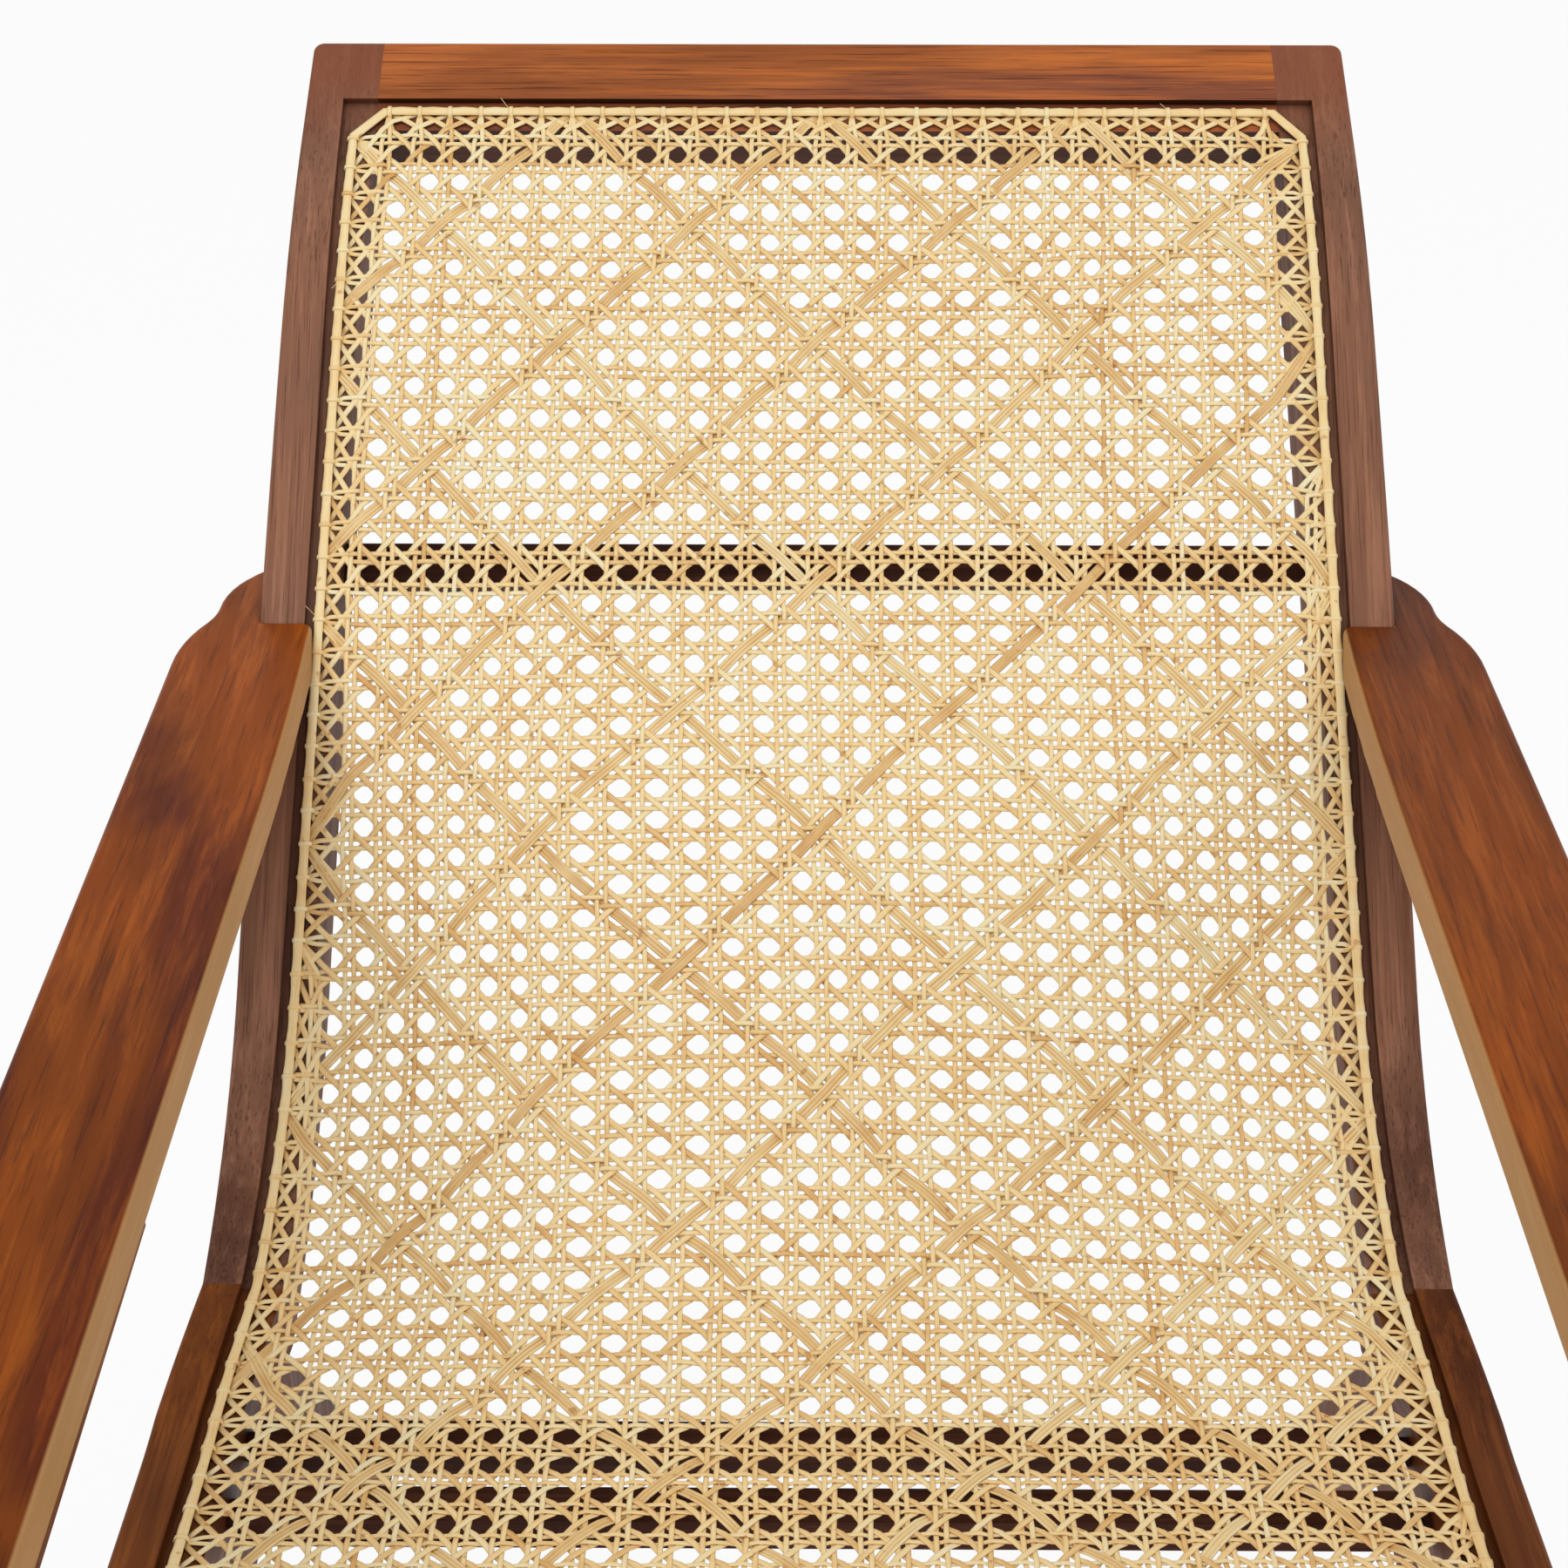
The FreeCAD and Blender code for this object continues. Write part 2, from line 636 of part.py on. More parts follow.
def arm_screw():
    """The right arm's screw and the wooden plug over its head, set through the tail into the stile."""
    y = y_arm + tail_length / 2
    z = (arm_top + arm_bottom) / 2
    surface = half_arm + tail_width
    out = V(-1, 0, 0)
    plug = Part.makeCylinder(screw_head_radius, screw_plug, V(surface, y, z), out)
    head_x = surface - screw_plug
    screw = Part.makeCylinder(screw_head_radius, screw_head, V(head_x, y, z), out)
    screw = screw.fuse(Part.makeCylinder(screw_radius, screw_length, V(head_x - screw_head, y, z), out))
    hole = Part.makeCylinder(screw_head_radius, screw_plug + over, V(surface + over, y, z), out)
    return screw, plug, hole


def square_dowel(distance, x, from_height, to_height):
    """A round dowel square to the cane line."""
    y1, z1 = at(distance, from_height)
    y2, z2 = at(distance, to_height)
    start, end = V(x, y1, z1), V(x, y2, z2)
    return Part.makeCylinder(dowel_radius, (end - start).Length, start, end - start)


def bow_at(distance):
    """How far the middle of the cane stands off the cane line, by a smooth curve through the given places."""
    if distance >= bow_places[-1] or distance <= bow_places[0]:
        return 0.0
    slopes = [0.0] + [(bow_heights[k + 1] - bow_heights[k - 1]) / (bow_places[k + 1] - bow_places[k - 1])
                      for k in range(1, len(bow_places) - 1)] + [0.0]
    k = max(i for i, place in enumerate(bow_places) if place <= distance)
    run = bow_places[k + 1] - bow_places[k]
    t = (distance - bow_places[k]) / run
    return (bow_heights[k] * (1 + 2 * t) * (1 - t) ** 2 + slopes[k] * run * t * (1 - t) ** 2
            + bow_heights[k + 1] * t * t * (3 - 2 * t) + slopes[k + 1] * run * t * t * (t - 1))


def cane_half_at(y):
    """Half width of the cane at a place along the chair."""
    span = box(0, WIDE, y - 0.5, y + 0.5, 0, 1).common(CANE_AREA)
    return span.BoundBox.XMax


def cane_surface(height):
    """The woven sheet's surface at a height: it follows the side frames and bows in the middle."""
    grid = []
    first, last = -bed_lip + cane_edge, front_step - cane_edge
    for i in range(cane_steps_along + 1):
        distance = first + (last - first) * (1 - math.cos(math.pi * i / cane_steps_along)) / 2
        y0 = at(distance)[0]
        half = cane_half_at(y0)
        inner = half - bed_width + cane_edge
        row = []
        for j in range(cane_steps_across + 1):
            x = half * math.sin(math.pi / 2 * (2 * j / cane_steps_across - 1))
            share = max(0.0, 1 - (x / inner) ** 2)
            y, z = at(distance, height + bow_at(distance) * share ** 1.5)
            row.append(V(x, y, z))
        grid.append(row)
    surface = Part.BSplineSurface()
    surface.interpolate(grid)
    return surface.toShape()


def cane_panel():
    """The woven sheet as one closed solid."""
    low, high = cane_surface(cane_clear), cane_surface(cane_clear + cane_thick)
    walls = [Part.makeRuledSurface(a, b) for a, b in zip(low.Edges, high.Edges)]
    shell = Part.makeShell([low, high] + walls)
    shell.sewShape()
    solid = Part.makeSolid(shell)
    if solid.Volume < 0:
        solid.reverse()
    return solid.cut(corner_cuts(cane_edge))


def corner_cuts(inset):
    """The two cut-off top corners of the cane, as one shape."""
    y, z = at(-bed_lip + inset)
    x = bed_top - inset
    points = [V(x - cane_corner, y, -over), V(x + over, y - cane_corner - over, -over),
              V(x + over, y + over, -over), V(x - cane_corner, y + over, -over)]
    face = Part.Face(Part.makePolygon(points + points[:1]))
    corner = face.extrude(V(0, 0, sky + over))
    return corner.fuse(mirrored(corner))


def cane_binder():
    """The flat strip of cane that covers the row of holes all round."""
    low = cane_clear * 2 + cane_thick
    outer = strip(-bed_lip + cane_edge, front_step - cane_edge, low, low + binder_thick, -WIDE, WIDE)
    outer = outer.common(CANE_AREA).cut(corner_cuts(cane_edge))
    edge = cane_edge + binder_width
    inner = strip(-bed_lip + edge, front_step - edge, low - over, low + over, -WIDE, WIDE)
    inner = inner.common(cane_area(edge, 0, 0)).cut(corner_cuts(edge))
    return outer.cut(inner)


CANE_AREA = cane_area(cane_edge, 0, 0)


def build():
    """All the pieces by name, before the chair is set on its origin."""
    parts = {}
    parts["top_rail"], top_tenon = top_rail()
    parts["mid_rail"], mid_tenon = mid_rail()
    low_tenons = []
    for name, place, width in zip(("low_rail_back", "low_rail_front"), low_places, low_widths):
        parts[name], tenon = low_rail(place, width)
        low_tenons.append(tenon)
    parts["front_rail"], front_tenon = front_rail()
    parts["front_stretcher"], stretcher_tenon = front_stretcher()
    leg, leg_up = front_leg()
    rear, rear_up = rear_leg()
    stile, rail, rail_tenon = side_frame([top_tenon, mid_tenon, rear_up] + low_tenons)
    stretcher, side_tenon = side_stretcher(leg, rear, rail)
    screw, screw_plug_solid, screw_hole = arm_screw()
    raw_stile = side_timber()
    board, other_board = [arm(raw_stile, leg_up, taper).cut(screw_hole).cut(screw)
                          for taper in (0.0, arm_left_taper)]
    stile = stile.cut(screw)
    middle = (bed_depth + depth_low) / 2
    lap = [square_dowel(joint_place - lap_length * k / 3, half_joint - side_width / 2,
                        depth_low, depth_low + dowel_depth) for k in (1, 2)]
    peg = square_dowel(-bed_lip - top_face / 2, half_top - side_width + tenon_length / 2,
                       depth_low, depth_low + dowel_depth)
    for dowel in lap:
        stile = stile.cut(dowel)
        rail = rail.cut(dowel)
    stile = stile.cut(peg)
    parts["top_rail"] = parts["top_rail"].cut(peg).cut(mirrored(peg))
    leg = leg.cut(front_tenon).cut(stretcher_tenon).cut(rail_tenon).cut(side_tenon).fuse(leg_up)
    rear = rear.cut(side_tenon).fuse(rear_up)
    right = {"back_stile": stile, "seat_side_rail": rail, "front_leg": leg, "rear_leg": rear,
             "side_stretcher": stretcher, "arm": board, "leg_rest": leg_rest()}
    right.update(pivot_hardware())
    for name, solid in right.items():
        parts[name + "_right"] = solid
        parts[name + "_left"] = mirrored(solid)
    parts["arm_left"] = mirrored(other_board)
    pairs = {"arm_screws": [screw], "arm_screw_plugs": [screw_plug_solid], "lap_dowels": lap,
             "top_rail_pegs": [peg]}
    for name, solids in pairs.items():
        parts[name] = Part.makeCompound(solids + [mirrored(s) for s in solids])
    parts["cane_panel"] = cane_panel()
    parts["cane_binder"] = cane_binder()
    return parts


def main():
    os.makedirs("parts", exist_ok=True)
    parts = build()
    front_end = arm_tip_y
    back_end = at(top_edge + edge_round, depth_low + edge_round)[0] + edge_round
    shift = V(0, -(front_end + back_end) / 2, 0)
    for name, shape in sorted(parts.items()):
        shape = shape.removeSplitter() if len(shape.Solids) == 1 else shape
        shape.translate(shift)
        shape.exportStep("parts/" + name + ".step")
        b = shape.optimalBoundingBox(False, False)
        print("%-20s solids %d volume %9.0f valid %s x %.1f %.1f y %.1f %.1f z %.1f %.1f" % (
            name, len(shape.Solids), shape.Volume, shape.isValid(),
            b.XMin, b.XMax, b.YMin, b.YMax, b.ZMin, b.ZMax))
    print("shift %.3f, depth %.3f" % (shift.y, back_end - front_end))
    print("pivot x %.3f y %.3f, arm place %.1f, front place %.1f" % (
        pivot_x, pivot_y + shift.y, arm_place, front_place))


main()
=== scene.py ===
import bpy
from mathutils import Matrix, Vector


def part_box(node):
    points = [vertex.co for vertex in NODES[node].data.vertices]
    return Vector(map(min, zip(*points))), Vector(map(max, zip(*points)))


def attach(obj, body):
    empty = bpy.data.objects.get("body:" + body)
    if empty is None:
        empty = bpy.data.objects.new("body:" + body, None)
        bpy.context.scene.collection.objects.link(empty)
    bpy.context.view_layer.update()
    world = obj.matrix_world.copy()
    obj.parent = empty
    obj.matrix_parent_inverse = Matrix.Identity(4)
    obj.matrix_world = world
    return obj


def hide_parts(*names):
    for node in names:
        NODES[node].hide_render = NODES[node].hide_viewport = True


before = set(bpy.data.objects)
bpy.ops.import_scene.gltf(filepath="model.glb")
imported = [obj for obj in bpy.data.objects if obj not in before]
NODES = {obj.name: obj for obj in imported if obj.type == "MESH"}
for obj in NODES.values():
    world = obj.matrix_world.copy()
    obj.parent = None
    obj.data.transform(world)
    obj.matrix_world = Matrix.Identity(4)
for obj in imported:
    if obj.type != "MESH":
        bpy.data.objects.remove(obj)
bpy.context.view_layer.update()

import math

import bpy
import numpy as np

bl_info = {
    "name": "Planters chair",
    "version": (1, 0, 0),
    "blender": (4, 5, 0),
    "location": "View3D > Sidebar > Chair",
    "description": "Weaves the cane and finishes the woods of a planters chair",
    "category": "Object",
}

MM = 0.001

# The cane line of the side frames, in metres and radians, as the part has it: top run, top curve, back, seat
# curve and seat, each with its length and its first and last slope.
TOP_SLOPE, BACK_SLOPE, SEAT_SLOPE = math.radians(36.0), math.radians(45.5), math.radians(-6.0)
STRETCHES = (
    (0.026, TOP_SLOPE, TOP_SLOPE),
    (0.688 * (BACK_SLOPE - TOP_SLOPE), TOP_SLOPE, BACK_SLOPE),
    (0.3535, BACK_SLOPE, BACK_SLOPE),
    (0.307 * (BACK_SLOPE - SEAT_SLOPE), BACK_SLOPE, SEAT_SLOPE),
    (0.385, SEAT_SLOPE, SEAT_SLOPE),
)
LOWEST = sum(stretch[0] for stretch in STRETCHES[:3]) + 0.307 * BACK_SLOPE
SEAT_LOW = 0.350
BACK_SHIFT = -0.0205

# Half width between the steps of the side frames, at the top, the arms, the lap joint and the seat.
STEP_PLACES = (-0.0427, 0.3015, 0.656, 0.732)
STEP_HALVES = (0.2695, 0.277, 0.286, 0.293)
FLARE_SHARE = 0.66

# How far the middle of the cane stands off the line.
BOW_PLACES = np.array((44, 84, 124, 184, 254, 324, 394, 464, 534, 604, 674, 744)) * MM
BOW_HEIGHTS = np.array((0, -4.5, -7.5, -9, -5, 6, 20, 28, 30, 21, 8.5, 0)) * MM

# The rebate: the place of the top holes on the line, how far the side holes lie from the step and the front
# holes from the end of the part's binder, and the width of its floor.
TOP_HOLES = 0.0023
HOLE_INSET = 0.0072
BINDER_REST = 0.0023
BED_WIDTH = 0.018

# The weave: rows and columns are counted by the open octagons, so the pairs of strands lie at the halves.
# The middles, spacings and rises follow the photo at the given rows, and the drifts at the given columns.
PITCH = 0.0175
ROWS = (-0.5, 1, 4, 7, 16, 22, 28, 34, 40, 43, 45, 46, 48, 66)
MIDDLES = (14.62, 14.64, 14.7, 14.79, 14.93, 14.92, 14.75, 14.66, 14.6, 14.6, 14.6, 14.6, 14.6, 14.6)
SPACINGS = np.array((17.5, 17.5, 17.51, 17.53, 17.75, 17.82, 17.65, 17.65, 17.78, 17.72, 17.67, 17.65, 17.65,
                     17.65)) * MM
RISE_LEFT = np.array((0, 1.7, 1.4, -0.4, 0.4, -1.3, -3.5, -0.6, -2.4, -2.7, 0.8, 2.8, 2.5, 0)) * MM
RISE_MIDDLE = np.array((0, 1.7, 1.7, -1.5, -1.8, -3.4, -7.2, -2.5, -4.1, -4.2, -1.2, 0.2, 0.2, 0)) * MM
RISE_RIGHT = np.array((0, 1.7, -0.4, -3.1, -1.4, -2.1, -2.2, -1.5, -5.7, -5.8, -4.5, -4.0, -3.5, 0)) * MM
COLUMNS = (1, 4, 7.5, 11, 14, 17, 20.5, 24, 28)
DRIFT_UPPER = np.array((2.2, 0.7, -0.8, -1.9, -1.8, -1.2, 3.3, -1.2, 1.5)) * MM
DRIFT_LOWER = np.array((5.6, 0.9, -5.0, 1.0, 2.6, -2.2, 2.0, 1.0, -3.5)) * MM
DRIFT_FROM, DRIFT_RUN = 12, 10          # the upper drifts pass into the lower ones over these rows
STRETCH_FROM = 48                       # rows in front of this one share what is left over to the front holes
TOP_ROW = -0.5
FIRST_COLUMN, LAST_COLUMN = -3, 33
MIDDLE_COLUMN, SIDE_COLUMNS = 14.5, 14  # the middle, and the columns from there to each side
SLANT_LINES = range(-70, 100)           # columns where the slanting lines cross row 0, well past both sides

# Small shifts of the crossings: how many rows and columns have their own, how far the first of them lie
# outside the weave, and how large they are.
UNEVEN_ROWS, UNEVEN_COLUMNS = 80, 48
ROW_MARGIN, COLUMN_MARGIN = 2.5, 4.5
UNEVEN_BY = 0.00035

# Strands, in pitches: half the distance of a pair, the places between two crossings, how far a strand draws
# in to its hole, and how far on from its last crossing a slanting strand looks for its hole.
PAIR_ACROSS, PAIR_DOWN = 0.13, 0.14
BETWEEN_FROM, BETWEEN_TO = 0.37, 0.63
DRAW_DOWN, DRAW_ACROSS = 1.15, 1.2
HOLE_REACH = 0.4

# Strands, in lifts: how far they rise between two crossings and dip into their holes.
BETWEEN_RISE, HOLE_DIP = 0.45, -1.6

# Every eighth slanting line is a wide strip, counted apart for the two slants. In lifts, a wide strip rises
# over one crossing and dips under the next, and lies a little above the middle between them.
WIDE_EVERY, WIDE_FALLING, WIDE_RISING = 8, 7, 6
WIDE_OVER, WIDE_UNDER, WIDE_MIDDLE = 2.1, 2.9, 0.5

# Heights of the weave and the binder over the line, and the binder's cut-off corners.
WEAVE_BASE, BINDER_BASE = 0.00135, 0.0024
TOP_CUT, FRONT_CUT = 0.017, 0.006

# Loose fibres: how far they reach, curl and stand up.
FIBRE_REACH, FIBRE_CURL, FIBRE_FOOT, FIBRE_RISE = 0.006, 0.002, 0.003, 0.0035

# Heights over the floor between which the stiles take on the top rail's colour.
WARM_FROM, WARM_TO = 0.770, 0.800

# The photo's camera, fitted to the rows and columns of the weave.
CAMERA_PLACE = (-0.0155, -0.855, 1.257)
CAMERA_DOWN, CAMERA_ASIDE = math.radians(33.25), math.radians(0.35)
CAMERA_LENS, CAMERA_SENSOR = 59.0, 36.0


def cane_line(s):
    """y, z and slope of the cane line at distances s from the top holes. A straight run steps by the cosine
    and sine of its slope. On an arc the slope turns evenly, so y falls by the change of its sine over the
    rate of turn, and z grows by the change of its cosine over that rate."""
    s = np.asarray(s, float)
    y, z = np.zeros_like(s), np.zeros_like(s)
    slope = np.full_like(s, STRETCHES[0][1])
    gone = 0.0
    for index, (length, first, last) in enumerate(STRETCHES):
        low = -9.0 if index == 0 else 0.0
        high = 9.0 if index == len(STRETCHES) - 1 else length
        part = np.clip(s - gone, low, high)
        turn = (last - first) / length
        if turn:
            now = first + turn * part
            y = y - (np.sin(now) - math.sin(first)) / turn
            z = z + (np.cos(now) - math.cos(first)) / turn
            slope = np.where(s > gone, now, slope)
        else:
            y = y - part * math.cos(first)
            z = z - part * math.sin(first)
            slope = np.where(s > gone, first, slope)
        gone += length
    return y, z, slope


LOW_Y, LOW_Z = (float(value) for value in cane_line(LOWEST)[:2])


def through(values, places, wanted):
    """The parabola through three places, by Lagrange's form: each value times the product of the distances
    to the other two places, over that product at its own place."""
    (a, b, c), (p, q, r) = values, places
    return (a * (wanted - q) * (wanted - r) / ((p - q) * (p - r))
            + b * (wanted - p) * (wanted - r) / ((q - p) * (q - r))
            + c * (wanted - p) * (wanted - q) / ((r - p) * (r - q)))


STEP_Y = tuple(float(cane_line(place)[0]) for place in STEP_PLACES)


def side_holes(s):
    """Half width of the row of side holes at distances s: one parabola from the top to the lap joint, a
    shorter one over the flare, and straight in front of it, less the inset of the holes from the step."""
    y = cane_line(s)[0]
    top, arm, joint, seat = STEP_HALVES
    y_top, y_arm, y_joint, y_seat = STEP_Y
    long_part = through((top, arm, joint), (y_top, y_arm, y_joint), y)
    middle = joint + (seat - joint) * FLARE_SHARE
    flare = through((joint, middle, seat), (y_joint, (y_joint + y_seat) / 2, y_seat), y)
    half = np.where(y > y_joint, long_part, np.where(y > y_seat, flare, seat))
    return half - HOLE_INSET


def bow(s):
    """Height of the cane's middle over the line: cubics through the given places, whose slopes are those
    between the neighbours on both sides, level at both ends."""
    slopes = np.zeros_like(BOW_HEIGHTS)
    slopes[1:-1] = (BOW_HEIGHTS[2:] - BOW_HEIGHTS[:-2]) / (BOW_PLACES[2:] - BOW_PLACES[:-2])
    inside = np.clip(s, BOW_PLACES[0], BOW_PLACES[-1])
    k = np.clip(np.searchsorted(BOW_PLACES, inside) - 1, 0, len(BOW_PLACES) - 2)
    run = BOW_PLACES[k + 1] - BOW_PLACES[k]
    t = (inside - BOW_PLACES[k]) / run
    return (BOW_HEIGHTS[k] * (1 + 2 * t) * (1 - t) ** 2 + slopes[k] * run * t * (1 - t) ** 2
            + BOW_HEIGHTS[k + 1] * t * t * (3 - 2 * t) + slopes[k + 1] * run * t * t * (t - 1))


def on_cane(x, s, height):
    """Points over the sheet: the line's point moved square to the line by the height and the bow, which
    fades to nothing at the rebate as one minus the square of x over the inner half width, to the power one
    and a half."""
    y, z, slope = cane_line(s)
    inner = side_holes(s) + HOLE_INSET - BED_WIDTH
    over = height + bow(s) * np.clip(1 - (x / inner) ** 2, 0, 1) ** 1.5
    return np.stack([x, y - LOW_Y + BACK_SHIFT - over * np.sin(slope),
                     z - LOW_Z + SEAT_LOW + over * np.cos(slope)], axis=-1)


def square_to_cane(x, s):
    """Unit normals of the sheet: the cross product of its differences along x and along s."""
    step = 0.0005
    across = on_cane(x + step, s, 0.0) - on_cane(x - step, s, 0.0)
    along = on_cane(x, s + step, 0.0) - on_cane(x, s - step, 0.0)
    normal = np.cross(along, across)
    normal *= np.sign(normal[..., 2:3])
    return normal / np.linalg.norm(normal, axis=-1, keepdims=True)


# The front row of holes lies just behind the front of the part's binder.
FRONT_PLACES = np.linspace(0.9, 1.2, 601)
FRONT_HOLES = float(np.interp(-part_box("cane_binder")[0][1] - BINDER_REST,
                              -(cane_line(FRONT_PLACES)[0] - LOW_Y + BACK_SHIFT), FRONT_PLACES))
LAST_ROW = math.floor((FRONT_HOLES - TOP_HOLES) / PITCH) + TOP_ROW
FRONT_REST = FRONT_HOLES - TOP_HOLES - (LAST_ROW - TOP_ROW) * PITCH

unevenness = np.random.default_rng(17).normal(0.0, UNEVEN_BY, (2, UNEVEN_ROWS, UNEVEN_COLUMNS))


def uneven(which, c, r):
    """Small shifts of the crossings, blended straight between the four nearest ones."""
    u = np.clip(r + ROW_MARGIN, 0, UNEVEN_ROWS - 1.1)
    v = np.clip(c + COLUMN_MARGIN, 0, UNEVEN_COLUMNS - 1.1)
    i, j = np.floor(u).astype(int), np.floor(v).astype(int)
    a, b, table = u - i, v - j, unevenness[which]
    return ((1 - a) * (1 - b) * table[i, j] + a * (1 - b) * table[i + 1, j]
            + (1 - a) * b * table[i, j + 1] + a * b * table[i + 1, j + 1])


def weave_place(c, r):
    """x and s of a place in the weave: the column's distance from the middle times the spacing, with the
    drift of the columns, and the row's distance times the pitch, with the rows' sag, blended over left,
    middle and right."""
    c, r = np.broadcast_arrays(np.asarray(c, float), np.asarray(r, float))
    lower = np.clip((r - DRIFT_FROM) / DRIFT_RUN, 0, 1)
    drift = (1 - lower) * np.interp(c, COLUMNS, DRIFT_UPPER) + lower * np.interp(c, COLUMNS, DRIFT_LOWER)
    x = (c - np.interp(r, ROWS, MIDDLES)) * np.interp(r, ROWS, SPACINGS) + drift + uneven(0, c, r)
    side = np.clip((c - MIDDLE_COLUMN) / SIDE_COLUMNS, -1, 1)
    rise = ((1 - np.abs(side)) * np.interp(r, ROWS, RISE_MIDDLE)
            + np.clip(-side, 0, 1) * np.interp(r, ROWS, RISE_LEFT)
            + np.clip(side, 0, 1) * np.interp(r, ROWS, RISE_RIGHT))
    edge = np.clip(r - TOP_ROW, 0, 1) * np.clip(LAST_ROW - r, 0, 1)
    rest = FRONT_REST * np.clip((r - STRETCH_FROM) / (LAST_ROW - STRETCH_FROM), 0, 1)
    s = TOP_HOLES + (r - TOP_ROW) * PITCH + rest + rise + edge * uneven(1, c, r)
    return x, s


def room_to_side(x, s):
    """Pitches from a place to the nearer side holes, below nothing when outside."""
    return (side_holes(s) - np.abs(x)) / PITCH


def side_hole(row, side):
    """x and s of the hole at a side for a row of the pairs."""
    row = min(max(row, 0.5), LAST_ROW - 1)
    s = float(weave_place(MIDDLE_COLUMN + side * SIDE_COLUMNS, row)[1])
    return side * float(side_holes(s)), s


def end_hole(column, row):
    """x and s of a hole in the top or front row, kept inside the cut-off corners."""
    x, s = (float(value) for value in weave_place(column, row))
    limit = float(side_holes(s)) - (TOP_CUT if row < 0 else FRONT_CUT)
    return min(max(x, -limit), limit), s


def first_row(column):
    """The first row of pairs where a column has room beside the side holes, or None when it never has."""
    rows = np.arange(0.5, LAST_ROW)
    room = room_to_side(*weave_place(column, rows))
    free = np.nonzero(room > 0.5)[0]
    return float(rows[free[0]]) if len(free) else None


PAIR_COLUMNS = [c for c in np.arange(FIRST_COLUMN + 0.5, LAST_COLUMN - 0.5) if first_row(c) is not None]
PAIR_STARTS = {c: first_row(c) for c in PAIR_COLUMNS}


def smooth(t):
    """Smooth step from 0 to 1: three t squared less two t cubed."""
    t = np.clip(t, 0, 1)
    return t * t * (3 - 2 * t)


def pair_down(sign, lift):
    """Runs of the strands that go down the chair, one at the left or right of each pair. Each weaves under
    and over the two strands of every crossing pair, and draws in to its hole at both ends."""
    runs = []
    for c in PAIR_COLUMNS:
        start = PAIR_STARTS[c]
        from_top = start < 1
        rows = np.arange(start, LAST_ROW - 0.5)
        r = np.stack([rows - PAIR_DOWN, rows + PAIR_DOWN, rows + BETWEEN_FROM, rows + BETWEEN_TO],
                     axis=1).ravel()
        h = np.tile([-sign, sign, BETWEEN_RISE * sign, -BETWEEN_RISE * sign], len(rows)) * -lift
        r, h = r[:-1], h[:-1]
        begin = start - 1
        x, s = weave_place(c, r)
        drawn = smooth((r - begin) / DRAW_DOWN) * smooth((LAST_ROW - r) / DRAW_DOWN)
        hole = end_hole(c, TOP_ROW) if from_top else side_hole(begin, -1 if c < MIDDLE_COLUMN else 1)
        if not from_top:
            x = hole[0] + (x - hole[0]) * smooth((r - begin + 0.25) / 1.5)
        x = x + sign * PAIR_ACROSS * PITCH * drawn
        front = end_hole(c, LAST_ROW)
        x = np.concatenate([[hole[0], hole[0] * 0.7 + x[0] * 0.3], x, [front[0]]])
        s = np.concatenate([[hole[1], hole[1] * 0.7 + s[0] * 0.3], s, [front[1]]])
        h = np.concatenate([[HOLE_DIP * lift, -0.3 * lift], h, [HOLE_DIP * lift]])
        runs.append((x, s, h))
    return runs


def pair_across(sign, lift):
    """Runs of the strands that go across the chair, upper or lower of each pair, from side hole to side
    hole."""
    runs = []
    for row in np.arange(0.5, LAST_ROW):
        columns = np.array([c for c in PAIR_COLUMNS if PAIR_STARTS[c] <= row])
        c = np.stack([columns - PAIR_ACROSS, columns + PAIR_ACROSS,
                      columns + BETWEEN_FROM, columns + BETWEEN_TO], axis=1).ravel()
        h = np.tile([-sign, sign, BETWEEN_RISE * sign, -BETWEEN_RISE * sign], len(columns)) * lift
        c, h = c[:-2], h[:-2]
        x, s = weave_place(c, row)
        drawn = smooth(room_to_side(x, s) / DRAW_ACROSS)
        s = s + sign * PAIR_DOWN * PITCH * drawn
        left, right = side_hole(row, -1), side_hole(row, 1)
        x = np.concatenate([[left[0], left[0] * 0.6 + x[0] * 0.4], x,
                            [right[0] * 0.6 + x[-1] * 0.4, right[0]]])
        near = sign * PAIR_DOWN * PITCH * 0.35
        s = np.concatenate([[left[1], left[1] * 0.6 + s[0] * 0.4 + near], s,
                            [right[1] * 0.6 + s[-1] * 0.4 + near, right[1]]])
        h = np.concatenate([[HOLE_DIP * lift, -0.4 * lift], h, [-0.4 * lift, HOLE_DIP * lift]])
        runs.append((x, s, h))
    return runs


def nearest_half(value):
    """The nearest place of a pair, which lies at a half."""
    return round(value - 0.5) + 0.5


def slanting_end(c, r, lean, down):
    """The hole where a slanting strand ends: straight on from its last crossing and a little further, at the
    side or in the top or front row, whichever it meets first. Lean is 1 for columns growing down the
    chair."""
    x, s = (float(value) for value in weave_place(c, r))
    way = lean if down else -lean
    to_side = (float(side_holes(s)) - way * x) / PITCH
    to_end = LAST_ROW - r if down else r - TOP_ROW
    if to_end <= to_side:
        return end_hole(nearest_half(c + way * (to_end + HOLE_REACH)), LAST_ROW if down else TOP_ROW)
    reach = to_side + HOLE_REACH
    return side_hole(nearest_half(r + (reach if down else -reach)), way)


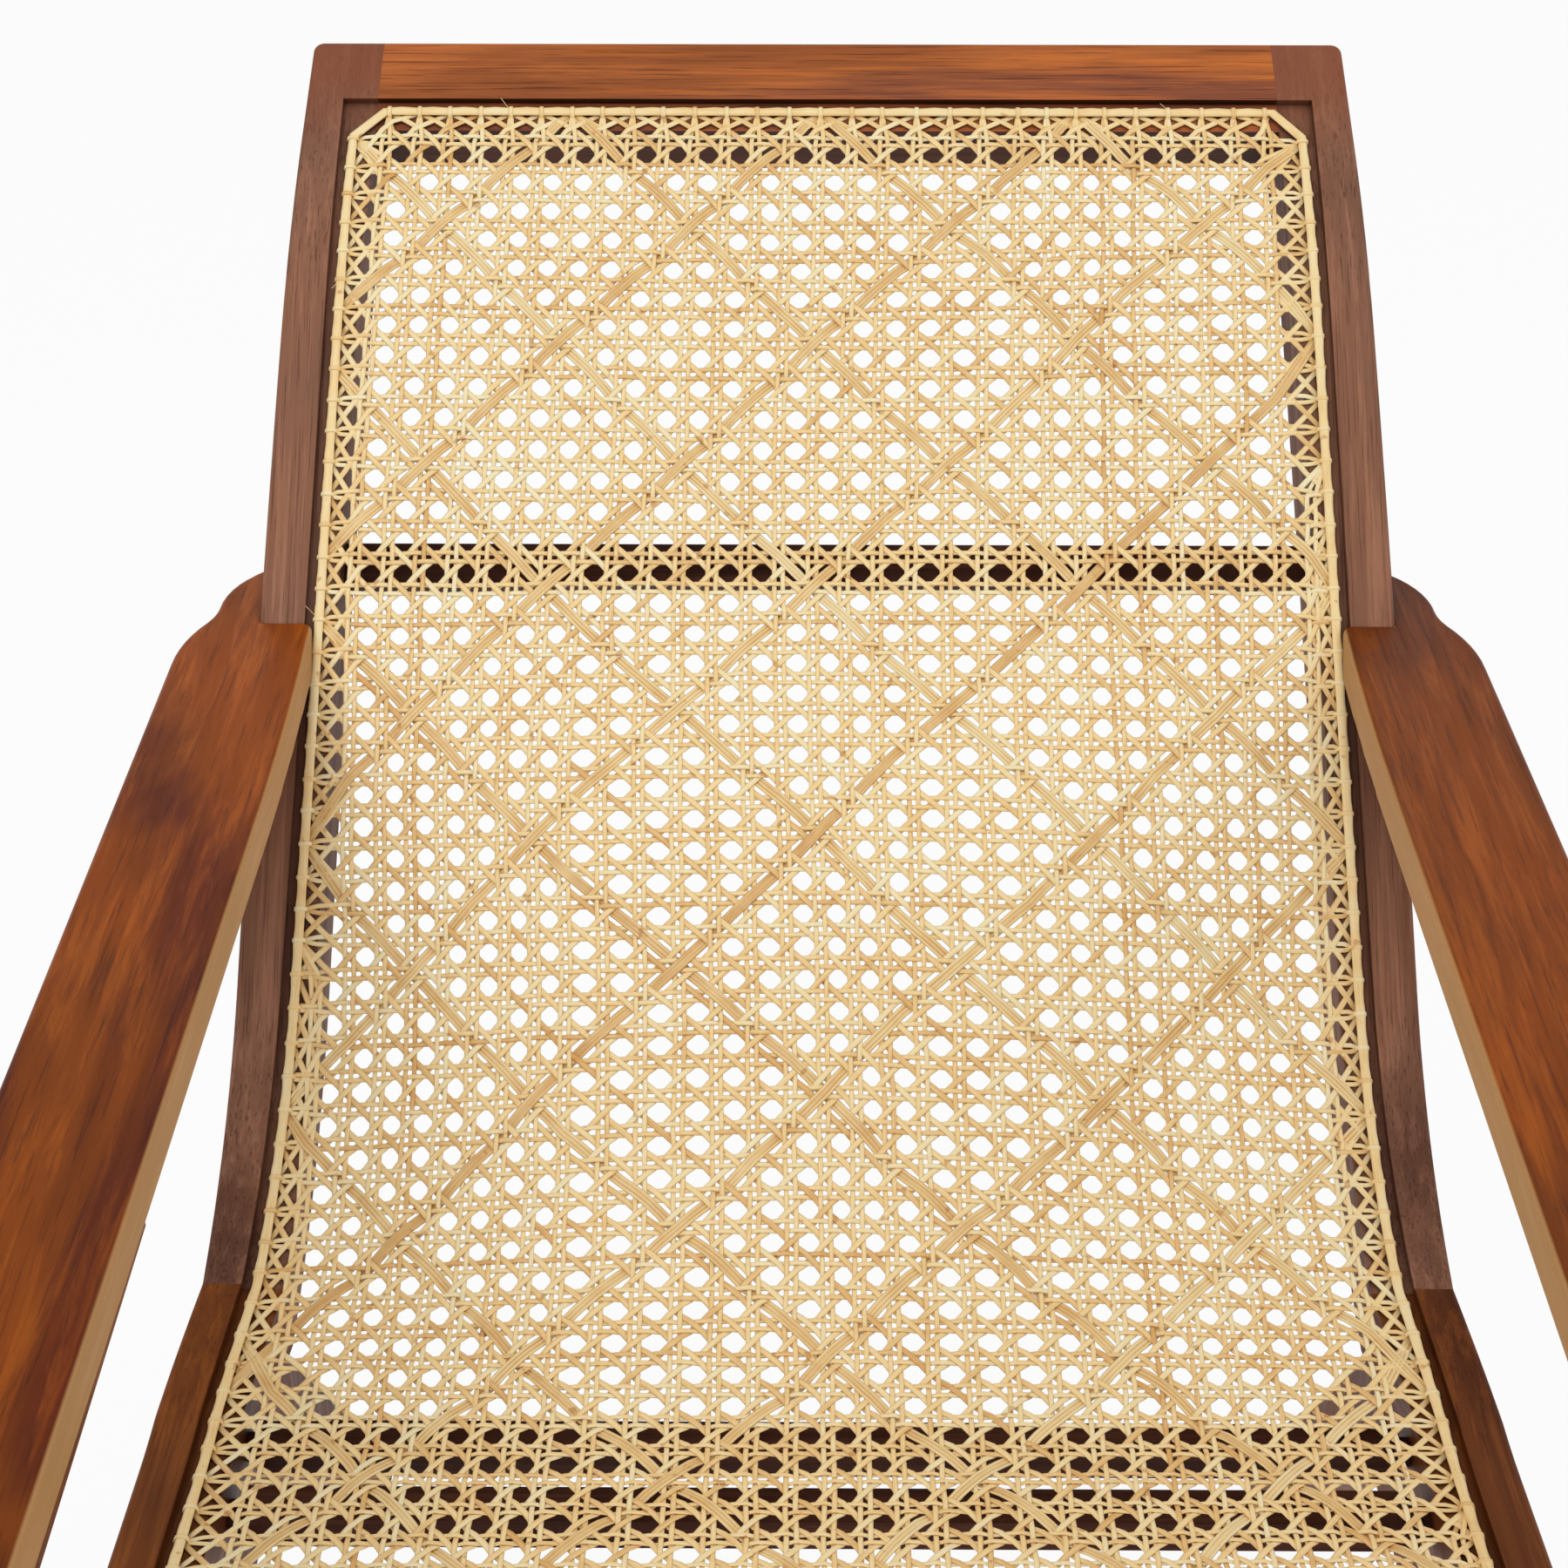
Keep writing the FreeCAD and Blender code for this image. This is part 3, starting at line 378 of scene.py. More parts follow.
def slanting(lean, lift, wide=False):
    """Runs of the slanting strands. Single ones pass half way between the crossings and the openings, and go
    over the pairs of one direction and under those of the other. Wide ones pass through the crossings and
    the openings on every eighth line, over one crossing and under the next, as a cosine with its turns made
    blunter by a power below one."""
    runs = []
    for number in SLANT_LINES:
        if wide and number % WIDE_EVERY != (WIDE_FALLING if lean > 0 else WIDE_RISING):
            continue
        shift = 0.0 if wide else 0.5
        rows = np.arange(0.5 if wide else 0.0, LAST_ROW - 0.4)
        columns = lean * rows + number + shift
        keep = (columns > FIRST_COLUMN) & (columns < LAST_COLUMN)
        rows, columns = rows[keep], columns[keep]
        if len(rows):
            x, s = weave_place(columns, rows)
            keep = room_to_side(x, s) > 0.45
            rows, columns = rows[keep], columns[keep]
        if not len(rows):
            continue
        if wide:
            r = np.arange(rows[0], rows[-1] + 0.01, 0.25)
            c = lean * r + number
            turns = np.cos(np.pi * (c - 2.5)) * -lean
            over = np.abs(turns) ** 0.7 * WIDE_OVER
            under = WIDE_MIDDLE - np.abs(turns) ** 0.45 * WIDE_UNDER
            h = np.where(turns > 0, over, under) * lift
        else:
            marks = np.arange(rows[0], rows[-1] + 0.01, 0.5)
            inner = slice(1, -1) if len(marks) > 1 else slice(0, 2)
            r = np.stack([marks - 0.15, marks + 0.15], axis=1).ravel()[inner]
            over_pair = np.isclose(np.repeat(marks, 2)[inner] % 1, 0.5)
            h = np.where(over_pair, 1, -1) * lean * lift
            c = lean * r + number + shift
        x, s = weave_place(c, r)
        top = slanting_end(columns[0], rows[0], lean, False)
        low = slanting_end(columns[-1], rows[-1], lean, True)
        rest = 0.9 * lift if wide else 0.2 * lean * lift
        x = np.concatenate([[top[0], (top[0] + x[0]) / 2], x, [(low[0] + x[-1]) / 2, low[0]]])
        s = np.concatenate([[top[1], (top[1] + s[0]) / 2], s, [(low[1] + s[-1]) / 2, low[1]]])
        h = np.concatenate([[HOLE_DIP * lift, rest], h, [rest, HOLE_DIP * lift]])
        runs.append((x, s, h))
    return runs


def oval(width, thick):
    """A strand's section: flat below, rounded above."""
    return np.array([(0.5, 0.0), (0.3, 0.5), (-0.3, 0.5), (-0.5, 0.0),
                     (-0.32, -0.5), (0.32, -0.5)]) * (width, thick)


def ribbed(width, thick):
    """The section of three strands lying side by side. Its grooves are the third and fifth points."""
    return np.array([(0.5, 0.0), (0.33, 0.5), (0.17, -0.3), (0.0, 0.52), (-0.17, -0.3), (-0.33, 0.5),
                     (-0.5, 0.0), (-0.32, -0.5), (0.32, -0.5)]) * (width, thick)


# The wide strips' grooves are darkened by this share of tone, as painted shade in the creases between the
# strands.
GROOVES = (2, 4)
GROOVE_PAINTED_SHADE = 0.6


def domed(width, thick):
    """The binder's section: a flat strip with a low crown."""
    return np.array([(0.5, -0.2), (0.46, 0.15), (0.25, 0.46), (0.0, 0.5), (-0.25, 0.46), (-0.46, 0.15),
                     (-0.5, -0.2), (-0.44, -0.5), (0.44, -0.5)]) * (width, thick)


def carried(name, runs, section, base, seed, widths=None, tones=None, closed=False, grooves=()):
    """A mesh of closed sections carried along runs over the sheet. A run is x, s and height over the base.
    The section stands across the run: its side is the cross product of the run's direction and the sheet's
    normal, and its top the cross product of side and direction. The map has the distance along and the way
    round. Each run has its own tone, which wavers along it. The grooves, counted round the section, are
    darkened as painted shade."""
    rng = np.random.default_rng(seed)
    counts = np.array([len(run[0]) for run in runs])
    x, s, h = (np.concatenate([run[i] for run in runs]) for i in range(3))
    strand = np.repeat(np.arange(len(runs)), counts)
    first = np.concatenate([[0], np.cumsum(counts)[:-1]])
    last = first + counts - 1
    points = on_cane(x, s, base + h)
    normal = square_to_cane(x, s)
    total = len(points)
    before, after = np.arange(total) - 1, np.arange(total) + 1
    before[first], after[last] = first, last
    if closed:
        before[first], after[last] = last - 1, first + 1
    way = points[after] - points[before]
    way /= np.linalg.norm(way, axis=1, keepdims=True)
    side = np.cross(way, normal)
    side /= np.linalg.norm(side, axis=1, keepdims=True)
    up = np.cross(side, way)
    width = np.ones(total) if widths is None else widths
    m = len(section)
    rings = (points[:, None] + side[:, None] * (section[None, :, :1] * width[:, None, None])
             + up[:, None] * section[None, :, 1:])
    links = np.setdiff1d(np.arange(total), last)
    a = np.arange(m)
    b = (a + 1) % m
    i = links[:, None]
    quads = np.stack([i * m + a, (i + 1) * m + a, (i + 1) * m + b, i * m + b], axis=-1).reshape(-1, 4)
    starts = np.arange(len(quads)) * 4
    corners = quads.ravel()
    if not closed:
        caps = np.concatenate([first[:, None] * m + a, last[:, None] * m + a[::-1]])
        starts = np.concatenate([starts, len(corners) + np.arange(len(caps)) * m])
        corners = np.concatenate([corners, caps.ravel()])
    mesh = bpy.data.meshes.new(name)
    mesh.vertices.add(total * m)
    mesh.vertices.foreach_set("co", rings.astype(np.float32).ravel())
    mesh.loops.add(len(corners))
    mesh.loops.foreach_set("vertex_index", corners.astype(np.int32))
    mesh.polygons.add(len(starts))
    mesh.polygons.foreach_set("loop_start", starts.astype(np.int32))
    mesh.polygons.foreach_set("use_smooth", np.ones(len(starts), bool))
    mesh.update(calc_edges=True)
    step = np.concatenate([[0], np.linalg.norm(np.diff(points, axis=0), axis=1)])
    along = np.cumsum(step)
    around = np.arange(m) / m
    u = np.repeat(along, m)
    v = (strand[:, None] * 3.7 + around[None, :]).ravel()
    layer = mesh.uv_layers.new(name="strand")
    layer.data.foreach_set("uv", np.stack([u[corners], v[corners]], axis=1).astype(np.float32).ravel())
    tone = rng.normal(0.5, 0.16, len(runs))[strand] if tones is None else tones
    tone = tone + 0.08 * np.sin(along * 23 + strand * 2.1)
    attribute = mesh.attributes.new("tone", "FLOAT", "POINT")
    # Painted shade: the tone drops at the groove points of the section.
    fall = np.zeros(m)
    fall[list(grooves)] = GROOVE_PAINTED_SHADE
    attribute.data.foreach_set("value", np.clip(tone[:, None] - fall, 0, 1).astype(np.float32).ravel())
    piece = bpy.data.objects.new(name, mesh)
    bpy.context.scene.collection.objects.link(piece)
    return piece


def border_line():
    """x and s along the row of holes, all round, with the cut-off corners at the top and small ones in
    front."""
    quarter = PITCH / 4
    top_half = float(side_holes(TOP_HOLES))
    low_half = float(side_holes(FRONT_HOLES))
    top = np.arange(-top_half + TOP_CUT, top_half - TOP_CUT + quarter / 2, quarter)
    down = np.arange(TOP_HOLES + TOP_CUT, FRONT_HOLES - FRONT_CUT, quarter)
    front = np.arange(low_half - FRONT_CUT, -low_half + FRONT_CUT, -quarter)
    x = np.concatenate([top, side_holes(down), front, -side_holes(down[::-1])])
    s = np.concatenate([np.full(len(top), TOP_HOLES), down, np.full(len(front), FRONT_HOLES), down[::-1]])
    return np.append(x, x[0]), np.append(s, s[0])


def all_holes():
    """x, s and the way across the border at every hole."""
    holes = []
    for c in PAIR_COLUMNS:
        if PAIR_STARTS[c] < 1:
            holes.append((*end_hole(c, TOP_ROW), 0.0, 1.0))
        holes.append((*end_hole(c, LAST_ROW), 0.0, 1.0))
    for row in np.arange(0.5, LAST_ROW):
        holes.append((*side_hole(row, -1), 1.0, 0.0))
        holes.append((*side_hole(row, 1), 1.0, 0.0))
    return np.array(holes)


def rgb(red, green, blue):
    """Colour as it is seen on a screen, from 0 to 255, to the linear values that shaders use."""
    return tuple(((v / 255 + 0.055) / 1.055) ** 2.4 if v > 10 else v / 255 / 12.92
                 for v in (red, green, blue)) + (1.0,)


def colour_property(name, description, value):
    """A colour of the panel, given as it is seen on a screen."""
    return bpy.props.FloatVectorProperty(name=name, description=description, default=rgb(*value), size=4,
                                         subtype="COLOR", min=0, max=1)


def length_property(name, description, value):
    """A length of the panel, in metres."""
    return bpy.props.FloatProperty(name=name, description=description, default=value, unit="LENGTH",
                                   precision=5)


def number_property(name, description, value):
    """A plain number of the panel."""
    return bpy.props.FloatProperty(name=name, description=description, default=value)


class CHAIR_PG_cane(bpy.types.PropertyGroup):
    strand_width: length_property("Strand width", "Width of the paired strands", 0.0025)
    slant_width: length_property("Slanting width", "Width of the slanting strands", 0.0031)
    wide_width: length_property("Wide strip", "Width of three strands side by side", 0.0058)
    thickness: length_property("Thickness", "Thickness of a strand", 0.00085)
    lift: length_property("Lift", "How far a strand rises or dips where it crosses another", 0.0008)
    binder_width: length_property("Binder width", "Width of the strip over the holes", 0.0050)
    binder_thickness: length_property("Binder thickness", "Thickness of the strip over the holes", 0.0019)
    loop_width: length_property("Loop width", "Width of the loops that hold the binder", 0.0026)
    loop_thickness: length_property("Loop thickness", "Thickness of those loops", 0.0008)
    pale: colour_property("Pale straw", "Lightest colour of the cane", (255, 241, 196))
    straw: colour_property("Straw", "Middle colour of the cane", (255, 223, 160))
    deep: colour_property("Deep straw", "Darkest colour of the cane", (226, 172, 100))


class CHAIR_PG_wood(bpy.types.PropertyGroup):
    top_light: colour_property("Top rail streaks", "Orange streaks of the top rail", (214, 120, 52))
    top_dark: colour_property("Top rail ground", "Red-brown ground of the top rail", (142, 80, 54))
    stile_light: colour_property("Stile streaks", "Light streaks of the stiles", (164, 115, 90))
    stile_dark: colour_property("Stile ground", "Purple-brown ground of the stiles", (116, 76, 57))
    arm_light: colour_property("Arm streaks", "Orange streaks of the arms", (164, 82, 6))
    arm_dark: colour_property("Arm ground", "Dark red-brown ground of the arms", (100, 38, 3))
    # The arms' faces that turn towards the seat take this tan.
    arm_inner_face: colour_property("Arm edges", "Tan of the arms' inner side faces", (196, 150, 98))
    seat_light: colour_property("Seat rail streaks", "Streaks of the seat rails", (144, 80, 30))
    seat_dark: colour_property("Seat rail ground", "Ground of the seat rails", (90, 44, 16))
    inner_light: colour_property("Inner rail streaks", "Streaks of the rails behind the cane", (104, 62, 46))
    inner_dark: colour_property("Inner rail ground", "Ground of the rails behind the cane", (64, 32, 24))


class CHAIR_PG_studio(bpy.types.PropertyGroup):
    key: number_property("Main light", "Power of the large light in front", 26.0)
    fill: number_property("Side light", "Power of the light from the right", 9.0)
    surround: number_property("Surround", "Strength of the white room", 0.62)


def shader_tree(name):
    """A new material and its empty node tree."""
    material = bpy.data.materials.new(name)
    material.use_nodes = True
    tree = material.node_tree
    tree.nodes.clear()
    return material, tree


def shader_node(tree, kind, settings=(), **values):
    """One shader node, with its settings, and its sockets set by name."""
    made = tree.nodes.new(kind)
    for key, value in dict(settings).items():
        setattr(made, key, value)
    for key, value in values.items():
        made.inputs[key.replace("_", " ")].default_value = value
    return made


def plug(tree, *pairs):
    """Joins each socket to its source, or sets it to its value."""
    for socket, value in pairs:
        if isinstance(value, bpy.types.NodeSocket):
            tree.links.new(value, socket)
        else:
            socket.default_value = value


def ramp(tree, source, stops):
    """A colour ramp on a source, with stops of place and colour."""
    made = tree.nodes.new("ShaderNodeValToRGB")
    elements = made.color_ramp.elements
    while len(elements) < len(stops):
        elements.new(0.5)
    for element, (place, value) in zip(elements, stops):
        element.position, element.color = place, value
    tree.links.new(source, made.inputs["Fac"])
    return made.outputs["Color"]


def mixed(tree, kind, amount, first, second):
    """Two colours mixed by a number or by a source."""
    made = shader_node(tree, "ShaderNodeMix", {"data_type": "RGBA", "blend_type": kind})
    plug(tree, (made.inputs[0], amount), (made.inputs[6], first), (made.inputs[7], second))
    return made.outputs[2]


def computed(tree, operation, *values):
    """The result of a calculation on numbers or sources."""
    made = shader_node(tree, "ShaderNodeMath", {"operation": operation})
    plug(tree, *zip(made.inputs, values))
    return made.outputs["Value"]


def ranged(tree, source, first, last, low, high):
    """A source's range from first to last, mapped to low and high."""
    made = shader_node(tree, "ShaderNodeMapRange", From_Min=first, From_Max=last, To_Min=low, To_Max=high)
    tree.links.new(source, made.inputs["Value"])
    return made.outputs["Result"]


def surfaced(tree, shader):
    """Joins a shader to the material's output."""
    tree.links.new(shader, shader_node(tree, "ShaderNodeOutputMaterial").inputs["Surface"])


def grain_noise(tree, vector, stretch, scale, detail=4.0, rough=0.6, bend=0.0):
    """Noise drawn out along the grain by the stretch."""
    mapping = shader_node(tree, "ShaderNodeMapping", Scale=(1.0 / stretch, 1.0, 1.0))
    noise = shader_node(tree, "ShaderNodeTexNoise", Scale=scale, Detail=detail, Roughness=rough,
                        Distortion=bend)
    tree.links.new(vector, mapping.inputs["Vector"])
    tree.links.new(mapping.outputs["Vector"], noise.inputs["Vector"])
    return noise.outputs["Fac"]


def tinted(value, share):
    """A colour, lightened or darkened by a share."""
    return tuple(channel * share for channel in value[:3]) + (1.0,)


def wood(name, light, dark, slope=None, polish=0.5, patches=0.5, streaks=70.0, pores=0.5,
         shift=(0.0, 0.0, 0.0), warm_end=None, length=1.0, reach=0.012, inner_face_tan=None, inner_face_side=1,
         painted_under_shade=False):
    """Oiled tropical hardwood. The grain runs along x, or down the given slope in the side view. Fine
    streaks, broad bands of colour, pores and specks are noises stretched along it. Hollows, corners and
    faces under other parts get painted shade from ambient occlusion. A warm end colours the highest part of
    the piece, and an inner face colour the faces that look right, or left with an inner face side of minus
    one.
    Length is that of the streaks, and reach how far the painted shade of a corner goes. Faces that look down
    may get painted shade as well."""
    material, tree = shader_tree(name)
    place = shader_node(tree, "ShaderNodeTexCoord")
    turned = shader_node(tree, "ShaderNodeMapping", Location=shift)
    if slope is not None:
        turned.inputs["Rotation"].default_value = (-slope, 0.0, math.pi / 2)
    tree.links.new(place.outputs["Object"], turned.inputs["Vector"])
    along = turned.outputs["Vector"]
    broad = grain_noise(tree, along, 9.0 * length, 16.0, 3.0, 0.55, 0.6)
    fine = grain_noise(tree, along, 26.0 * length, streaks * 2.2, 5.0, 0.65, 0.3)
    hair = grain_noise(tree, along, 60.0 * length, streaks * 11.0, 3.0, 0.7)
    blotch = grain_noise(tree, along, 3.0, 11.0, 3.0, 0.5, 0.8)
    ground = ramp(tree, fine, [(0.38, tinted(dark, 0.74)), (0.5, dark), (0.63, light)])
    bands = ramp(tree, broad, [(0.40, dark), (0.52, tinted(light, 0.84)), (0.62, light)])
    colour = mixed(tree, "MIX", 0.55, ground, bands)
    spots = ramp(tree, blotch, [(0.38, (0.55, 0.50, 0.50, 1)), (0.5, (0.95, 0.95, 0.95, 1)),
                                (0.62, (1.16, 1.10, 1.0, 1))])
    colour = mixed(tree, "MULTIPLY", patches, colour, spots)
    lines = ramp(tree, hair, [(0.36, (0.45, 0.42, 0.42, 1)), (0.46, (1, 1, 1, 1)), (0.62, (1.0, 1.0, 1.0, 1)),
                              (0.74, (1.25, 1.2, 1.15, 1))])
    colour = mixed(tree, "MULTIPLY", pores, colour, lines)
    if warm_end is not None:
        parts = tree.nodes.new("ShaderNodeSeparateXYZ")
        tree.links.new(place.outputs["Object"], parts.inputs["Vector"])
        height = ranged(tree, parts.outputs["Z"], WARM_FROM, WARM_TO, 0.0, 0.75)
        colour = mixed(tree, "MIX", height, colour, warm_end)
    facing = tree.nodes.new("ShaderNodeSeparateXYZ")
    tree.links.new(place.outputs["Normal"], facing.inputs["Vector"])
    if painted_under_shade:
        # Painted shade: faces that look down are mixed towards the ground colour at 0.12 of its strength.
        under = ranged(tree, facing.outputs["Z"], -0.35, -0.1, 0.85, 0.0)
        colour = mixed(tree, "MIX", under, colour, tinted(dark, 0.12))
    # Faces that look right, or left with an inner face side of minus one, are mixed towards the tan.
    if inner_face_tan is not None:
        inner = ranged(tree, facing.outputs["X"], 0.4 * inner_face_side, 0.75 * inner_face_side, 0.0, 0.8)
        colour = mixed(tree, "MIX", inner, colour, inner_face_tan)
    # Painted shade: hollows, corners and faces under other parts are darkened by ambient occlusion over the
    # reach.
    painted_corner_shade = shader_node(tree, "ShaderNodeAmbientOcclusion", {"samples": 6}, Distance=reach)
    corner_shade_colour = ramp(tree, painted_corner_shade.outputs["AO"], [(0.2, (0.26, 0.21, 0.19, 1)), (0.85, (1, 1, 1, 1))])
    colour = mixed(tree, "MULTIPLY", 0.9, colour, corner_shade_colour)
    bump = shader_node(tree, "ShaderNodeBump", Strength=0.22, Distance=0.0004)
    tree.links.new(hair, bump.inputs["Height"])
    shine = ramp(tree, fine, [(0.3, (polish + 0.12,) * 3 + (1,)), (0.7, (polish - 0.06,) * 3 + (1,))])
    surface = shader_node(tree, "ShaderNodeBsdfPrincipled", IOR=1.45, Specular_IOR_Level=0.2)
    tree.links.new(colour, surface.inputs["Base Color"])
    tree.links.new(shine, surface.inputs["Roughness"])
    tree.links.new(bump.outputs["Normal"], surface.inputs["Normal"])
    surfaced(tree, surface.outputs["BSDF"])
    return material


def cane_finish(name, sizes, lightness=0.0):
    """Cane: the strand's tone, with painted shade in the wide strips' grooves, long fibres along its map,
    clouds of colour and a few brown flecks.
    """
    material, tree = shader_tree(name)
    tone = shader_node(tree, "ShaderNodeAttribute", {"attribute_name": "tone"})
    uv = shader_node(tree, "ShaderNodeUVMap", {"uv_map": "strand"})
    stretched = shader_node(tree, "ShaderNodeMapping", Scale=(30.0, 9.0, 1.0))
    tree.links.new(uv.outputs["UV"], stretched.inputs["Vector"])
    fibres = shader_node(tree, "ShaderNodeTexNoise", Scale=1.0, Detail=4.0, Roughness=0.6)
    tree.links.new(stretched.outputs["Vector"], fibres.inputs["Vector"])
    place = shader_node(tree, "ShaderNodeTexCoord")
    cloud = shader_node(tree, "ShaderNodeTexNoise", Scale=55.0, Detail=3.0, Roughness=0.6)
    tree.links.new(place.outputs["Object"], cloud.inputs["Vector"])
    fibred = computed(tree, "MULTIPLY_ADD", fibres.outputs["Fac"], 0.9, tone.outputs["Fac"])
    clouded = computed(tree, "MULTIPLY_ADD", cloud.outputs["Fac"], 0.8, fibred)
    colour = ramp(tree, ranged(tree, clouded, 0.75 - lightness, 1.95 - lightness, 0.0, 1.0),
                  [(0.0, tuple(sizes.deep)), (0.45, tuple(sizes.straw)), (0.85, tuple(sizes.pale))])
    fleck = shader_node(tree, "ShaderNodeTexNoise", Scale=140.0, Detail=1.0)
    tree.links.new(place.outputs["Object"], fleck.inputs["Vector"])
    marks = ramp(tree, fleck.outputs["Fac"], [(0.70, (1, 1, 1, 1)), (0.76, (0.70, 0.50, 0.34, 1))])
    colour = mixed(tree, "MULTIPLY", 0.8, colour, marks)
    bump = shader_node(tree, "ShaderNodeBump", Strength=0.25, Distance=0.0002)
    tree.links.new(fibres.outputs["Fac"], bump.inputs["Height"])
    surface = shader_node(tree, "ShaderNodeBsdfPrincipled", Roughness=0.42, IOR=1.45)
    tree.links.new(colour, surface.inputs["Base Color"])
    tree.links.new(bump.outputs["Normal"], surface.inputs["Normal"])
    surfaced(tree, surface.outputs["BSDF"])
    return material


def aged_brass():
    """Brass gone dull in patches."""
    material, tree = shader_tree("aged_brass")
    place = shader_node(tree, "ShaderNodeTexCoord")
    noise = shader_node(tree, "ShaderNodeTexNoise", Scale=160.0, Detail=5.0)
    tree.links.new(place.outputs["Object"], noise.inputs["Vector"])
    surface = shader_node(tree, "ShaderNodeBsdfPrincipled", Metallic=1.0)
    tree.links.new(ramp(tree, noise.outputs["Fac"], [(0.35, rgb(120, 92, 48)), (0.62, rgb(196, 160, 92))]),
                   surface.inputs["Base Color"])
    tree.links.new(ramp(tree, noise.outputs["Fac"], [(0.3, (0.55,) * 3 + (1,)), (0.7, (0.28,) * 3 + (1,))]),
                   surface.inputs["Roughness"])
    surfaced(tree, surface.outputs["BSDF"])
    return material


def finish_nodes(material, *names):
    """Gives CAD pieces one material."""
    for name in names:
        slots = NODES[name].data.materials
        slots.clear()
        slots.append(material)


def add_cane(piece, material, *replaced):
    """A piece of cane rides on the frame and takes the cane's slot."""
    piece.data.materials.append(material)
    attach(piece, "frame")
    if replaced:
        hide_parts(*replaced)


class CHAIR_OT_finish_back(bpy.types.Operator):
    """Finishes the stiles, the top rail and the rails behind the cane"""
    bl_idname = "chair.finish_back"
    bl_label = "Finish the back"

    def execute(self, context):
        tints = context.scene.chair_wood
        # Painted shade: the top rail's hollows and down-facing faces, and over a long reach the stiles' faces
        # under the arms, are darkened.
        finish_nodes(wood("top_rail_wood", tints.top_light, tints.top_dark, None, 0.45, 0.6, 80.0, 0.9,
                          reach=0.03, painted_under_shade=True), "top_rail")
        for side, shift in (("left", (0.0, 0.0, 0.0)), ("right", (3.1, 1.7, 0.0))):
            finish_nodes(wood("stile_wood_" + side, tints.stile_light, tints.stile_dark, BACK_SLOPE, 0.56,
                              0.5, 80.0, 0.8, shift, tints.top_dark, reach=0.12), "back_stile_" + side)
        finish_nodes(wood("inner_rail_wood", tints.inner_light, tints.inner_dark, None, 0.6),
                     "mid_rail", "low_rail_back", "low_rail_front")
        return {"FINISHED"}


class CHAIR_OT_finish_seat(bpy.types.Operator):
    """Finishes the seat rails, the legs and the stretchers"""
    bl_idname = "chair.finish_seat"
    bl_label = "Finish the seat and legs"

    def execute(self, context):
        tints = context.scene.chair_wood
        finish_nodes(wood("seat_rail_wood", tints.seat_light, tints.seat_dark, SEAT_SLOPE, 0.48),
                     "seat_side_rail_left", "seat_side_rail_right")
        finish_nodes(wood("front_rail_wood", tints.seat_light, tints.seat_dark, None, 0.48),
                     "front_rail", "front_stretcher")
        finish_nodes(wood("leg_wood", tints.seat_light, tints.seat_dark, math.pi / 2),
                     "front_leg_left", "front_leg_right", "rear_leg_left", "rear_leg_right")
        finish_nodes(wood("stretcher_wood", tints.seat_light, tints.seat_dark, 0.0),
                     "side_stretcher_left", "side_stretcher_right")
        return {"FINISHED"}


class CHAIR_OT_finish_arms(bpy.types.Operator):
    """Finishes the arms and the leg rests"""
    bl_idname = "chair.finish_arms"
    bl_label = "Finish the arms"

    def execute(self, context):
        tints = context.scene.chair_wood
        for side, shift, depth, inward in (("left", (0.0, 0.0, 0.0), 1.0, 1),
                                           ("right", (2.3, 0.9, 0.4), 0.86, -1)):
            light, dark = tinted(tints.arm_light, depth), tinted(tints.arm_dark, depth)
            finish_nodes(wood("arm_wood_" + side, light, dark, 0.0, 0.4, 0.7, 42.0, 0.6, shift, length=0.4,
                              inner_face_tan=tints.arm_inner_face, inner_face_side=inward), "arm_" + side)
        finish_nodes(wood("leg_rest_wood", tints.arm_light, tints.arm_dark, 0.0, 0.42, 0.6, 50.0, 0.5,
                          (0.7, 0.2, 1.1)), "leg_rest_left", "leg_rest_right")
        return {"FINISHED"}


class CHAIR_OT_finish_fittings(bpy.types.Operator):
    """Finishes the plugs, pegs, screws and pivots"""
    bl_idname = "chair.finish_fittings"
    bl_label = "Finish the fittings"

    def execute(self, context):
        tints = context.scene.chair_wood
        pegs = wood("peg_wood", tints.inner_light, tints.inner_dark, math.pi / 2, 0.55, 0.4, 120.0, 0.4)
        finish_nodes(pegs, "arm_screw_plugs", "lap_dowels", "top_rail_pegs", "stop_peg_left",
                     "stop_peg_right", "pivot_plug_left", "pivot_plug_right")
        metal = [part + side for part in ("pivot_bolt_", "pivot_nut_", "upper_washer_", "lower_washer_")
                 for side in ("left", "right")]
        finish_nodes(aged_brass(), "arm_screws", *metal)
        return {"FINISHED"}


class CHAIR_OT_weave_cane(bpy.types.Operator):
    """Weaves the pairs, the slanting strands and the wide strips"""
    bl_idname = "chair.weave_cane"
    bl_label = "Weave the cane"

    def execute(self, context):
        sizes = context.scene.chair_cane
        lift = sizes.lift
        pair, slant = oval(sizes.strand_width, sizes.thickness), oval(sizes.slant_width, sizes.thickness)
        strip = ribbed(sizes.wide_width, sizes.thickness * 1.15)
        plain = cane_finish("cane_pairs", sizes)
        falling = cane_finish("cane_falling", sizes, -0.08)
        wide = cane_finish("cane_wide", sizes, 0.02)
        add_cane(carried("cane_down_left", pair_down(-1, lift), pair, WEAVE_BASE, 1), plain, "cane_panel")
        add_cane(carried("cane_down_right", pair_down(1, lift), pair, WEAVE_BASE, 2), plain)
        add_cane(carried("cane_across_upper", pair_across(-1, lift), pair, WEAVE_BASE, 3), plain)
        add_cane(carried("cane_across_lower", pair_across(1, lift), pair, WEAVE_BASE, 4), plain)
        add_cane(carried("cane_slant_falling", slanting(1, lift), slant, WEAVE_BASE, 5), falling)
        add_cane(carried("cane_slant_rising", slanting(-1, lift), slant, WEAVE_BASE, 6), plain)
        for name, lean, seed in (("cane_wide_falling", 1, 7), ("cane_wide_rising", -1, 8)):
            runs = slanting(lean, lift, True)
            add_cane(carried(name, runs, strip, WEAVE_BASE, seed, grooves=GROOVES), wide)
        return {"FINISHED"}


